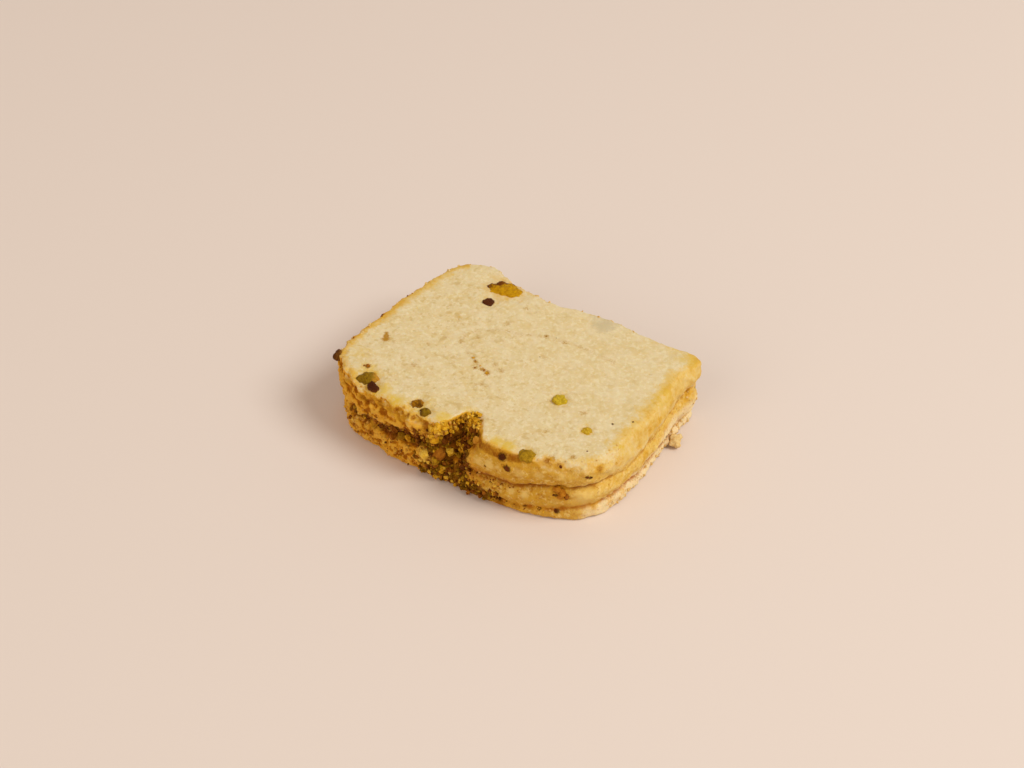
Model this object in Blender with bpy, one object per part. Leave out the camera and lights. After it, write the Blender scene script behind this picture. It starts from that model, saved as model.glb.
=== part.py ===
# One thick slice of a lemon and pistachio loaf cake, lying on a cut face.
# The domed top crust of the loaf faces -Y, its flat base faces +Y, the loaf's length runs up +Z.
# Metres. The origin is on the floor under the middle of the slice.

import bpy
import bmesh
import math
import random
from mathutils import Euler, Matrix, Vector, noise

mm = 0.001

# Driving dimensions, in millimetres
sliceThickness = 24.0
rimRadiusCrust = 2.2
rimRadiusBase = 0.9
footRadius = 1.3
crackPosition = -2.2
crackDepthTop = 10.6
crackDepthFoot = 0.8
creaseDepth = 2.0
valleyDepth = 2.7
lowCreaseDepth = 1.2
pocketGap = 0.42
columnCount = 420
targetTriangles = 4300

# Outline of the loaf's section, seen on the cut face, anticlockwise from the left shoulder
sectionPoints = [
    (-57.0, -15.5),  # left shoulder
    (-53.4, -23.4),
    (-44.5, -28.7),
    (-31.0, -31.2),  # domed crust, left of the crack
    (-14.0, -31.5),
    (3.0, -31.2),
    (19.0, -29.3),  # domed crust, right of the crack
    (31.5, -25.0),
    (39.6, -18.6),
    (42.9, -10.5),  # right shoulder
    (43.2, 3.0),
    (42.2, 18.0),
    (41.2, 31.0),
    (41.6, 37.4),
    (38.8, 41.6),  # right base corner
    (25.0, 41.6),
    (7.0, 42.3),  # base of the loaf
    (-15.0, 39.2),
    (-32.5, 41.8),
    (-42.0, 44.0),  # left base corner, a little torn
    (-50.0, 39.8),
    (-53.6, 32.0),
    (-56.4, 8.0),
]

# Height of each crease along the crust: distance from the crack to the right, height above the floor
mainCreasePath = [(-75, 8.0), (-48, 8.4), (-30, 10.8), (-12, 12.8), (4, 10.4), (20, 11.4),
                  (36, 13.4), (50, 14.4), (66, 12.8), (82, 12.4), (102, 15.2), (112, 15.4)]
lowCreasePath = [(0, 2.2), (14, 2.4), (32, 3.6), (44, 5.9), (56, 5.4), (68, 4.0), (90, 3.8), (108, 3.4)]

# Slanting wrinkles near the left shoulder: start and end as (distance, height), depth, half width
wrinkles = [
    ((-55.0, 22.5), (-37.0, 14.0), 0.9, 1.0),
    ((-58.0, 16.5), (-44.0, 9.0), 0.8, 0.9),
    ((-59.0, 9.6), (-46.0, 7.2), 1.3, 1.0),
    ((-40.0, 20.5), (-24.0, 17.5), 0.5, 1.1),
    ((26.0, 8.6), (40.0, 9.6), 0.35, 0.9),
]


def srgb(red, green, blue):
    # Colour read off the cake as 0 to 255, as the linear value that a shader takes
    values = []
    for channel in (red, green, blue):
        c = channel / 255
        values.append(c / 12.92 if c <= 0.04045 else ((c + 0.055) / 1.055) ** 2.4)
    return (values[0], values[1], values[2], 1.0)


def makeMaterial(name, colour, roughness):
    material = bpy.data.materials.new(name)
    material.use_nodes = True
    shader = material.node_tree.nodes["Principled BSDF"]
    shader.inputs["Base Color"].default_value = colour
    shader.inputs["Roughness"].default_value = roughness
    shader.inputs["Metallic"].default_value = 0.0
    material.diffuse_color = colour
    return material


def smoothStep(low, high, value):
    t = min(1.0, max(0.0, (value - low) / (high - low)))
    return t * t * (3 - 2 * t)


def alongPath(path, distance):
    # Smoothly interpolated height of a crease at a distance from the crack
    if distance <= path[0][0]:
        return path[0][1]
    for (s0, z0), (s1, z1) in zip(path, path[1:]):
        if distance <= s1:
            return z0 + (z1 - z0) * smoothStep(s0, s1, distance)
    return path[-1][1]


def curvePoint(p0, p1, p2, p3, t):
    # Point on a closed Catmull-Rom curve
    return 0.5 * (2 * p1 + (p2 - p0) * t + (2 * p0 - 5 * p1 + 4 * p2 - p3) * t * t
                  + (3 * p1 - p0 - 3 * p2 + p3) * t * t * t)


def sectionOutline():
    # Evenly spaced points round the section with their outward directions and distances from the crack
    points = [Vector(p) for p in sectionPoints]
    count = len(points)
    fine = []
    for i in range(count):
        quad = [points[(i + k - 1) % count] for k in range(4)]
        for step in range(40):
            fine.append(curvePoint(*quad, step / 40))
    lengths = [0.0]
    for a, b in zip(fine, fine[1:] + fine[:1]):
        lengths.append(lengths[-1] + (b - a).length)
    perimeter = lengths[-1]
    crackIndex = min(range(len(fine)), key=lambda k: abs(fine[k].x - crackPosition) + max(0.0, fine[k].y) * 10)
    outline = []
    cursor = 0
    for i in range(columnCount):
        target = perimeter * i / columnCount
        while lengths[cursor + 1] < target:
            cursor += 1
        t = (target - lengths[cursor]) / (lengths[cursor + 1] - lengths[cursor])
        here = fine[cursor].lerp(fine[(cursor + 1) % len(fine)], t)
        distance = target - lengths[crackIndex]
        if distance > perimeter * 0.62:
            distance -= perimeter
        outline.append([here, None, distance])
    for i in range(columnCount):
        tangent = outline[(i + 2) % columnCount][0] - outline[i - 2][0]
        outline[i][1] = Vector((tangent.y, -tangent.x)).normalized()
    return outline


def groove(offset, halfWidthBelow, halfWidthAbove, power):
    width = halfWidthAbove if offset > 0 else halfWidthBelow
    return math.exp(-(abs(offset) / width) ** power)


def wrinkleDepth(distance, height):
    total = 0.0
    for start, end, depth, halfWidth in wrinkles:
        a = Vector(start)
        line = Vector(end) - a
        here = Vector((distance, height)) - a
        t = here.dot(line) / line.dot(line)
        ends = smoothStep(-0.05, 0.2, t) * smoothStep(1.05, 0.8, t)
        away = (here - line * t).length
        total += depth * ends * math.exp(-(away / halfWidth) ** 2)
    return total


def crustOffset(point, distance, height):
    # How far the crust stands out (+) or in (-) from the section's outline, in millimetres
    onCrust = smoothStep(-92, -70, distance) * smoothStep(118, 104, distance)
    leftHalf = smoothStep(-6, -16, distance)
    nearCrack = math.exp(-((distance - 1) / 8.5) ** 2)
    mainHeight = alongPath(mainCreasePath, distance)
    lowHeight = alongPath(lowCreasePath, distance)
    rightDepth = creaseDepth * (1 - 0.35 * smoothStep(48, 62, distance))
    sharp = groove(height - mainHeight, 1.7, 0.8, 1.3) * rightDepth
    valley = groove(height - mainHeight, 2.9, 2.3, 2.0) * valleyDepth
    main = (sharp * (1 - leftHalf) + valley * leftHalf) * onCrust * (1 - 0.6 * nearCrack)
    low = groove(height - lowHeight, 1.1, 1.7, 1.6) * lowCreaseDepth * onCrust
    low *= smoothStep(4, 12, distance)
    bulgeUp = 0.9 * math.sin(math.pi * smoothStep(mainHeight, sliceThickness, height)) * onCrust
    bulgeMid = 0.5 * math.sin(math.pi * smoothStep(lowHeight, mainHeight, height)) * onCrust
    lumps = noise.noise(Vector((point.x * 0.09, point.y * 0.09, height * 0.11 + 7))) * 0.9
    lumps += noise.noise(Vector((point.x * 0.24, point.y * 0.24, height * 0.3 + 3))) * 0.55
    lumps += noise.noise(Vector((point.x * 0.6, point.y * 0.6, height * 0.75 + 11))) * 0.25
    torn = smoothStep(126, 200, distance) * smoothStep(236, 212, distance) * smoothStep(12, 22, height)
    torn *= 0.5 + noise.noise(Vector((point.x * 0.35, point.y * 0.35, height * 0.3)))
    crumbling = smoothStep(60, 70, distance) * smoothStep(104, 92, distance) * smoothStep(7, 1, height)
    crumbling *= 0.9 * noise.noise(Vector((point.x * 0.5, point.y * 0.5, height * 0.4 + 5)))
    return bulgeUp + bulgeMid - main - low - wrinkleDepth(distance, height) + lumps - 1.1 * torn + crumbling


def crackOffset(distance, height):
    # Depth of the baked split in the crust: its right side slopes at the cut face and curls over it lower down
    depth = crackDepthFoot + (crackDepthTop - crackDepthFoot) * smoothStep(0, 20, height)
    wander = 1.2 * noise.noise(Vector((height * 0.16, 2.0, 0.0)))
    across = distance - wander
    lip = smoothStep(22, 14, height)
    left = smoothStep(-7.6 - 2.0 * lip, -1.6 - 2.4 * lip, across)
    right = smoothStep(10.5 - 6.0 * lip, 0.4 - 2.4 * lip, across)
    rough = 1 + 0.25 * noise.noise(Vector((across * 0.35, height * 0.35, 4.0)))
    return depth * left * right * rough


def rimDrop(distance, height):
    # Inward step of the rounded rim at the cut face and of the rounded foot
    crustSide = smoothStep(-86, -64, distance) * smoothStep(112, 98, distance)
    radius = rimRadiusBase + (rimRadiusCrust - rimRadiusBase) * crustSide
    step = 0.0
    if height > sliceThickness - radius:
        q = (height - sliceThickness + radius) / radius
        step += radius * (1 - math.sqrt(max(0.0, 1 - q * q)))
    if height < footRadius:
        q = (footRadius - height) / footRadius
        step += footRadius * (1 - math.sqrt(max(0.0, 1 - q * q)))
    return step


def wallPoint(entry, height):
    point, outward, distance = entry
    shift = crustOffset(point, distance, height) - rimDrop(distance, height)
    flare = 0.9 * math.exp(-((distance - 104) / 7) ** 2) * smoothStep(12, 24, height)
    here = point + outward * (shift + flare)
    here.y += crackOffset(distance, height)
    return Vector((here.x, here.y, height))


def cutFaceHeight(x, y):
    # The knife's face is nearly flat, with slow waves and a few shallow dips
    wave = 0.35 * noise.noise(Vector((x * 0.035, y * 0.05, 1.0)))
    wave += 0.16 * noise.noise(Vector((x * 0.16, y * 0.16, 6.0)))
    return wave


def loftSlice():
    outline = sectionOutline()
    levels = [0.0, 0.25, 0.7, 1.3]
    while levels[-1] < sliceThickness - 2.4:
        levels.append(levels[-1] + 0.62)
    levels += [sliceThickness - 1.7, sliceThickness - 1.1, sliceThickness - 0.55, sliceThickness - 0.15]
    insets = [0.992, 0.98, 0.965, 0.945, 0.92, 0.89, 0.855, 0.81, 0.75, 0.68, 0.6, 0.5, 0.38, 0.24, 0.1]
    rows = len(levels) + len(insets) - 1
    body = bmesh.new()
    bmesh.ops.create_grid(body, x_segments=columnCount, y_segments=rows, size=1.0)
    heart = Vector((-6.0, 4.0))
    rimHeight = levels[-1]
    for vertex in body.verts:
        column = round((vertex.co.x + 1) / 2 * columnCount) % columnCount
        row = round((vertex.co.y + 1) / 2 * rows)
        entry = outline[column]
        if row < len(levels):
            here = wallPoint(entry, levels[row])
        else:
            rim = wallPoint(entry, rimHeight)
            inset = insets[row - len(levels)]
            flat = heart + (Vector((rim.x, rim.y)) - heart) * inset
            settle = smoothStep(1.0, 0.93, inset)
            here = Vector((flat.x, flat.y, rimHeight + 0.15 * smoothStep(1.0, 0.97, inset)))
            here.z += cutFaceHeight(flat.x, flat.y) * settle
        vertex.co = here * mm
    bmesh.ops.remove_doubles(body, verts=body.verts, dist=0.000001)
    border = [edge for edge in body.edges if edge.is_boundary]
    bmesh.ops.holes_fill(body, edges=border, sides=0)
    bmesh.ops.triangulate(body, faces=[face for face in body.faces if len(face.verts) > 4])
    bmesh.ops.recalc_face_normals(body, faces=body.faces)
    mesh = bpy.data.meshes.new("cake_slice")
    body.to_mesh(mesh)
    body.free()
    return bpy.data.objects.new("cake_slice", mesh), outline


def applyModifiers(thing):
    bpy.context.view_layer.objects.active = thing
    for modifier in list(thing.modifiers):
        bpy.ops.object.modifier_apply(modifier=modifier.name)


def keepOutside(thing):
    # Drops loose scraps and fills sealed hollows by keeping only the largest shell
    work = bmesh.new()
    work.from_mesh(thing.data)
    unseen = set(work.verts)
    shells = []
    while unseen:
        stack = [unseen.pop()]
        shell = set(stack)
        while stack:
            for edge in stack.pop().link_edges:
                for other in edge.verts:
                    if other not in shell:
                        shell.add(other)
                        stack.append(other)
        unseen -= shell
        shells.append(shell)
    shells.sort(key=len, reverse=True)
    for shell in shells[1:]:
        bmesh.ops.delete(work, geom=list(shell), context="VERTS")
    bmesh.ops.triangulate(work, faces=work.faces)
    work.to_mesh(thing.data)
    work.free()


def blob(name, size, subdivisions, seed, roughness, cuts=()):
    # A chopped piece: an uneven ellipsoid of full size (x, y, z), with flat chopped sides
    work = bmesh.new()
    bmesh.ops.create_icosphere(work, subdivisions=subdivisions, radius=1.0)
    for vertex in work.verts:
        direction = vertex.co.normalized()
        swell = 1 + roughness * noise.noise(direction * 1.7 + Vector((seed * 3.1, seed * 1.7, 0.5)))
        vertex.co = Vector((direction.x * size[0], direction.y * size[1], direction.z * size[2])) * swell * mm / 2
    for normal, reach in cuts:
        plane = Vector(normal).normalized()
        geometry = work.verts[:] + work.edges[:] + work.faces[:]
        result = bmesh.ops.bisect_plane(work, geom=geometry, plane_co=plane * reach * mm, plane_no=plane,
                                        dist=0.000001, clear_outer=True)
        rim = [item for item in result["geom_cut"] if isinstance(item, bmesh.types.BMEdge)]
        bmesh.ops.contextual_create(work, geom=rim)
    bmesh.ops.triangulate(work, faces=work.faces)
    bmesh.ops.recalc_face_normals(work, faces=work.faces)
    mesh = bpy.data.meshes.new(name)
    work.to_mesh(mesh)
    work.free()
    return bpy.data.objects.new(name, mesh)


def pocketFor(nut):
    # The nut's own shape grown a little, which cuts its seat in the cake
    work = bmesh.new()
    work.from_mesh(nut.data)
    work.normal_update()
    grown = [vertex.co + vertex.normal * pocketGap * mm for vertex in work.verts]
    for vertex, place in zip(work.verts, grown):
        vertex.co = place
    mesh = bpy.data.meshes.new(nut.name + "_pocket")
    work.to_mesh(mesh)
    work.free()
    cutter = bpy.data.objects.new(nut.name + "_pocket", mesh)
    cutter.location = nut.location
    cutter.rotation_euler = nut.rotation_euler
    cutter.hide_render = True
    cutter.display_type = "WIRE"
    return cutter


for old in list(bpy.data.objects):
    bpy.data.objects.remove(old, do_unlink=True)

partCollection = bpy.data.collections.new("lemon_loaf_slice")
cutterCollection = bpy.data.collections.new("cutters")
crumbleCollection = bpy.data.collections.new("crumble")
for collection in (partCollection, cutterCollection, crumbleCollection):
    bpy.context.scene.collection.children.link(collection)

crumbMaterial = makeMaterial("lemon_crumb", srgb(223, 197, 148), 0.85)
nutColours = {
    "green": makeMaterial("pistachio_green", srgb(150, 128, 28), 0.6),
    "gold": makeMaterial("pistachio_gold", srgb(183, 129, 20), 0.6),
    "skin": makeMaterial("pistachio_skin", srgb(100, 52, 30), 0.65),
}

# The slice: lofted fine, then thinned where it is flat
cake, outline = loftSlice()
partCollection.objects.link(cake)
thinning = cake.modifiers.new("thin", "DECIMATE")
thinning.ratio = targetTriangles / sum(len(face.vertices) - 2 for face in cake.data.polygons)
applyModifiers(cake)
for vertex in cake.data.vertices:
    if vertex.co.z < 0.05 * mm:
        vertex.co.z = 0.0


def columnAt(distance):
    return min(outline, key=lambda entry: abs(entry[2] - distance))


def addCrumble(index, distance, height, size, proud):
    # One chopped pistachio piece pressed into the crust, its middle standing proud by a share of its size
    place = wallPoint(columnAt(distance), height)
    outward = columnAt(distance)[1]
    piece = blob(f"crumble_{index}", (size, size * 0.8, size * 0.7), 1, index, 0.5)
    piece.rotation_euler = Euler((index * 1.3, index * 2.1, index * 0.7))
    centre = Vector((place.x, place.y, height)) + Vector((outward.x, outward.y, 0)) * size * proud
    centre.z = max(centre.z, size * 0.45)
    piece.location = centre * mm
    crumbleCollection.objects.link(piece)


# Chopped pistachio fused to the crust, the largest pieces first
draw = random.Random(41)
crumbleIndex = 0
crumbleZones = [
    # lowest and highest distance, lowest and highest height, number, largest and smallest size, proud
    (-8.0, 5.0, 16.5, 22.6, 17, 4.4, 2.4, 0.24),
    (-8.5, 2.5, 5.0, 16.0, 14, 3.8, 2.2, 0.16),
    (-16.0, -7.0, 5.0, 19.5, 10, 3.2, 2.0, 0.1),
    (-14.0, 13.0, 1.2, 5.5, 17, 3.0, 1.9, 0.12),
    (-46.0, -15.0, 0.0, 0.0, 12, 2.9, 1.9, 0.12),
]
for low, high, bottom, top, number, largest, smallest, proud in crumbleZones:
    for k in range(number):
        size = largest + (smallest - largest) * (k / number) ** 0.8
        distance = draw.uniform(low, high)
        height = draw.uniform(bottom, top)
        if top == 0.0:
            height = alongPath(mainCreasePath, distance) + draw.uniform(-2.0, 1.6)
        addCrumble(crumbleIndex, distance, height, size, proud)
        crumbleIndex += 1

# A crumb of cake that clings to the foot of the right-hand side
footCrumb = blob("foot_crumb", (5.4, 4.6, 4.6), 2, 5, 0.45)
footCrumb.location = Vector((43.7, 25.6, 2.5)) * mm
crumbleCollection.objects.link(footCrumb)

joining = cake.modifiers.new("join", "BOOLEAN")
joining.operation = "UNION"
joining.operand_type = "COLLECTION"
joining.collection = crumbleCollection
joining.solver = "EXACT"
applyModifiers(cake)
for piece in list(crumbleCollection.objects):
    bpy.data.objects.remove(piece, do_unlink=True)
bpy.data.collections.remove(crumbleCollection)
keepOutside(cake)

# Larger pistachio pieces, each its own solid: name, colour, place, full size, turn in degrees, seed, chopped sides
nutPieces = [
    ("nut_kernel_green", "green", (-30.7, 36.2, 22.8), (14.0, 7.8, 6.0), (0, 3, 13), 1, [((0, 0, 1), 2.2)]),
    ("nut_kernel_skin", "skin", (-31.5, 27.1, 22.9), (5.6, 5.0, 4.8), (0, 0, 25), 2, [((0, 0, 1), 2.0)]),
    ("nut_round_green", "green", (15.5, -0.6, 23.1), (5.0, 5.2, 4.8), (0, 0, 35), 3, [((0, 0.1, 1), 2.0)]),
    ("nut_block_green", "green", (30.4, -8.1, 23.0), (4.4, 4.0, 4.0), (0, 0, 30), 4, [((0, 0, 1), 1.6), ((1, 0, 0.2), 1.6)]),
    ("nut_left_green", "green", (-39.9, -26.0, 22.9), (8.0, 5.4, 5.0), (6, 0, 30), 6, [((0.1, -0.3, 1), 2.2)]),
    ("nut_left_skin", "skin", (-35.7, -28.6, 23.0), (4.8, 3.4, 4.4), (0, 10, 12), 7, [((1, 0.2, 0.3), 2.0)]),
    ("nut_front_gold", "gold", (-19.8, -27.5, 23.1), (4.2, 4.4, 5.0), (0, 0, -8), 8, [((0, -0.6, 1), 2.2)]),
    ("nut_front_green", "green", (-15.4, -29.0, 22.9), (4.4, 4.2, 4.6), (0, 14, -4), 9, [((0.4, -0.5, 1), 2.0)]),
    ("nut_rim_olive", "green", (21.2, -26.8, 22.9), (6.0, 4.6, 4.2), (0, 0, 24), 10, [((0, -0.7, 1), 1.7)]),
    ("nut_shoulder_skin", "skin", (-55.8, -21.0, 21.9), (4.8, 4.0, 4.2), (0, 0, 40), 11, [((0.3, -1, 0.2), 1.7)]),
]
for name, colour, place, size, turn, seed, cuts in nutPieces:
    nut = blob(name, size, 2, seed, 0.28, cuts)
    nut.location = Vector(place) * mm
    nut.rotation_euler = Euler([math.radians(angle) for angle in turn])
    nut.data.materials.append(nutColours[colour])
    partCollection.objects.link(nut)
    cutterCollection.objects.link(pocketFor(nut))

seats = cake.modifiers.new("seats", "BOOLEAN")
seats.operation = "DIFFERENCE"
seats.operand_type = "COLLECTION"
seats.collection = cutterCollection
seats.solver = "EXACT"
applyModifiers(cake)
keepOutside(cake)
cake.data.materials.clear()
cake.data.materials.append(crumbMaterial)

# Brings the middle of the whole to the origin
bpy.context.view_layer.update()
corners = [thing.matrix_world @ vertex.co for thing in partCollection.objects for vertex in thing.data.vertices]
middle = Vector(((min(c.x for c in corners) + max(c.x for c in corners)) / 2,
                 (min(c.y for c in corners) + max(c.y for c in corners)) / 2, 0.0))
for thing in list(partCollection.objects) + list(cutterCollection.objects):
    thing.location -= middle
print("middle moved by", [round(value / mm, 3) for value in middle])
print("triangles", {thing.name: len(thing.data.polygons) for thing in partCollection.objects})
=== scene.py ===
import math
import random

import bpy
import numpy as np
from mathutils import Euler, Matrix, Vector, noise
from mathutils.bvhtree import BVHTree
from mathutils.kdtree import KDTree


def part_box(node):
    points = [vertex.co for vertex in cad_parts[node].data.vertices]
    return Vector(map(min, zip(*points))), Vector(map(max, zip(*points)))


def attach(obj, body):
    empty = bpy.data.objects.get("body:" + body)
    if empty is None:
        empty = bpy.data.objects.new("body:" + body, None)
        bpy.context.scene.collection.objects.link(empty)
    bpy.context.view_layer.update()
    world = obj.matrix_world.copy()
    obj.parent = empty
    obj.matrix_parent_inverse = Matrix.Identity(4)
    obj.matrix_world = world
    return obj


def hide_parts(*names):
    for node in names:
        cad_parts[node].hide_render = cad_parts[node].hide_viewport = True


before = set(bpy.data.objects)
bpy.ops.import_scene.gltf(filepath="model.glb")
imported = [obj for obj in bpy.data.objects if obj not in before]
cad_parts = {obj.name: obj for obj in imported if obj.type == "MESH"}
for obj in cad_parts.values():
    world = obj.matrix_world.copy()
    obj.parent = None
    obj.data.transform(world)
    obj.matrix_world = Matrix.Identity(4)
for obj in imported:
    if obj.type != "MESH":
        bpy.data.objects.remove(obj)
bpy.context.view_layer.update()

mm = 0.001
sectionMiddle = Vector((-5.866, 5.383, 0.0))  # the part's origin, in the section's own millimetres


# Small helpers

def deselectAll():
    for thing in bpy.context.selected_objects:
        thing.select_set(False)
    bpy.context.view_layer.objects.active = None


def makeActive(thing):
    deselectAll()
    thing.select_set(True)
    bpy.context.view_layer.objects.active = thing


def applyModifiers(thing):
    makeActive(thing)
    for modifier in list(thing.modifiers):
        bpy.ops.object.modifier_apply(modifier=modifier.name)


def joinAll(things, name):
    deselectAll()
    for thing in things:
        thing.select_set(True)
    bpy.context.view_layer.objects.active = things[0]
    bpy.ops.object.join()
    joined = bpy.context.object
    bpy.ops.object.transform_apply(location=True, rotation=True, scale=True)
    joined.name = name
    return joined


def vectorsOf(thing, kind="co"):
    # The places of a mesh's points, or their normals
    vectors = np.empty(len(thing.data.vertices) * 3)
    thing.data.vertices.foreach_get(kind, vectors)
    return vectors.reshape(-1, 3)


def setCoordinates(thing, places):
    thing.data.vertices.foreach_set("co", places.ravel())
    thing.data.update()


def keepAboveFloor(thing):
    places = vectorsOf(thing)
    places[:, 2] = np.maximum(places[:, 2], 0)
    setCoordinates(thing, places)


def mendMesh(nearest, fill=False):
    # Merges the active mesh's points that are nearer than this, closes it and turns its faces outward
    bpy.ops.object.mode_set(mode="EDIT")
    bpy.ops.mesh.select_all(action="SELECT")
    bpy.ops.mesh.remove_doubles(threshold=nearest * mm)
    if fill:
        bpy.ops.mesh.fill_holes(sides=0)
        bpy.ops.mesh.select_all(action="SELECT")
    bpy.ops.mesh.normals_make_consistent(inside=False)
    bpy.ops.object.mode_set(mode="OBJECT")


def remeshEvenly(thing, voxel):
    remesh = thing.modifiers.new("even", "REMESH")
    remesh.mode = "VOXEL"
    remesh.voxel_size = voxel * mm


def dress(piece, material):
    piece.data.materials.clear()
    piece.data.materials.append(material)
    deselectAll()


def smoothStep(low, high, value):
    t = np.clip((value - low) / (high - low), 0, 1)
    return t * t * (3 - 2 * t)


def span(value, start, full, fading, end):
    # 1 between full and fading, with a soft end on each side
    return smoothStep(start, full, value) * smoothStep(end, fading, value)


def ease(low, high, value):
    # smoothStep for a single number, which is much quicker
    t = min(1.0, max(0.0, (value - low) / (high - low)))
    return t * t * (3 - 2 * t)


def easeSpan(value, start, full, fading, end):
    return ease(start, full, value) * ease(end, fading, value)


def wave(x, y, z):
    # Smooth noise from -1 to 1, the same in every run
    return noise.noise(Vector((x, y, z)))


def srgb(red, green, blue):
    values = []
    for channel in (red, green, blue):
        c = channel / 255
        values.append(c / 12.92 if c <= 0.04045 else ((c + 0.055) / 1.055) ** 2.4)
    return (values[0], values[1], values[2], 1.0)


def fromSection(x, y, z):
    return (Vector((x, y, z)) - sectionMiddle) * mm


class Shade:
    # One socket of a node tree, so that shader maths reads as plain Python
    def __init__(self, tree, socket=None):
        self.tree = tree
        self.socket = socket

    def node(self, kind, settings=None, inputs=None, output=0):
        made = self.tree.nodes.new(kind)
        for name, value in (settings or {}).items():
            if name == "stops":
                ramp = made.color_ramp
                while len(ramp.elements) < len(value):
                    ramp.elements.new(0.5)
                for element, (position, colour) in zip(ramp.elements, value):
                    element.position = position
                    element.color = colour
            else:
                setattr(made, name, value)
        for name, value in (inputs or {}).items():
            if isinstance(value, Shade):
                self.tree.links.new(value.socket, made.inputs[name])
            else:
                made.inputs[name].default_value = value
        return Shade(self.tree, made.outputs[output])

    def maths(self, operation, *values):
        return self.node("ShaderNodeMath", {"operation": operation}, dict(enumerate(values)))

    def __add__(self, other):
        return self.maths("ADD", self, other)

    def __radd__(self, other):
        return self.maths("ADD", other, self)

    def __sub__(self, other):
        return self.maths("SUBTRACT", self, other)

    def __rsub__(self, other):
        return self.maths("SUBTRACT", other, self)

    def __mul__(self, other):
        return self.maths("MULTIPLY", self, other)

    def __rmul__(self, other):
        return self.maths("MULTIPLY", other, self)

    def between(self, low, high):
        # 0 at low, 1 at high, smooth between and flat outside
        return self.node("ShaderNodeMapRange", {"interpolation_type": "SMOOTHSTEP"},
                         {"Value": self, "From Min": low, "From Max": high})

    def toward(self, colour, factor):
        return self.mixed(self, colour, factor)

    def mixed(self, first, second, factor):
        return self.node("ShaderNodeMix", {"data_type": "RGBA"}, {0: factor, 6: first, 7: second}, 2)

    def ramp(self, *stops):
        return self.node("ShaderNodeValToRGB", {"stops": stops}, {"Fac": self})

    def attribute(self, name):
        return self.node("ShaderNodeAttribute", {"attribute_name": name}, None, 2)

    def scaled(self, coordinates, factors, turn=(0, 0, 0)):
        return self.node("ShaderNodeMapping", None,
                         {"Vector": coordinates, "Scale": factors, "Rotation": turn})

    def noise(self, coordinates, scale, detail, rough):
        return self.node("ShaderNodeTexNoise", None,
                         {"Vector": coordinates, "Scale": scale, "Detail": detail, "Roughness": rough})

    def bump(self, height, distance, strength):
        return self.node("ShaderNodeBump", None,
                         {"Height": height, "Distance": distance, "Strength": strength})


def newMaterial(name, **fixed):
    # Constant values go on the shader's own sockets; the coordinates are the object's, in millimetres
    material = bpy.data.materials.new(name)
    material.use_nodes = True
    tree = material.node_tree
    shader = tree.nodes["Principled BSDF"]
    for socket, value in fixed.items():
        shader.inputs[socket.replace("_", " ")].default_value = value
    shade = Shade(tree)
    place = shade.scaled(shade.node("ShaderNodeTexCoord", None, None, 3), (1000, 1000, 1000))
    return material, shader, shade, place


def feed(shader, **links):
    for socket, value in links.items():
        value.tree.links.new(value.socket, shader.inputs[socket.replace("_", " ")])


# Camera at the photo's angle, a pale floor and soft light

stage = dict(
    lens=65, cameraPlace=(257.353, -371.639, 400.159), look=(-0.43476, 0.62554, -0.64782),
    floorColour=srgb(228, 211, 198), floorRoughness=0.62,
    key=dict(direction=(1.02, 0.28, 1.15), distance=2.4, size=1.3, energy=38.5, colour=(0.93, 0.985, 1.0)),
    fill=dict(direction=(-0.1, -0.95, 0.6), distance=3.0, size=2.3, energy=21.0, colour=(1.0, 0.95, 0.88)),
    skyColour=(1.0, 0.87, 0.77, 1.0), skyStrength=0.495,
)


def softLight(name, settings):
    data = bpy.data.lights.new(name, "AREA")
    data.shape = "DISK"
    data.size = settings["size"]
    data.energy = settings["energy"]
    data.color = settings["colour"]
    lamp = bpy.data.objects.new(name, data)
    toward = Vector(settings["direction"]).normalized()
    lamp.location = toward * settings["distance"]
    lamp.rotation_euler = toward.to_track_quat("Z", "Y").to_euler()
    bpy.context.scene.collection.objects.link(lamp)


def buildStage():
    data = bpy.data.cameras.new("camera")
    data.lens = stage["lens"]
    data.clip_start = 0.01
    camera = bpy.data.objects.new("camera", data)
    camera.location = Vector(stage["cameraPlace"]) * mm
    camera.rotation_euler = Vector(stage["look"]).to_track_quat("-Z", "Y").to_euler()
    bpy.context.scene.collection.objects.link(camera)
    bpy.context.scene.camera = camera
    bpy.context.scene.view_settings.view_transform = "Standard"
    softLight("key", stage["key"])
    softLight("fill", stage["fill"])
    world = bpy.data.worlds.new("studio")
    world.use_nodes = True
    world.node_tree.nodes["Background"].inputs[0].default_value = stage["skyColour"]
    world.node_tree.nodes["Background"].inputs[1].default_value = stage["skyStrength"]
    bpy.context.scene.world = world
    deselectAll()
    bpy.ops.mesh.primitive_plane_add(size=6, location=(0, 0, 0))
    floor = bpy.context.object
    floor.name = "floor"
    material, shader, shade, place = newMaterial("paleFloor", Roughness=stage["floorRoughness"])
    shader.inputs["Base Color"].default_value = stage["floorColour"]
    floor.data.materials.append(material)


# The slice's form, by the same rule as the solid: outline, creases, split and rounded edges

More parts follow.
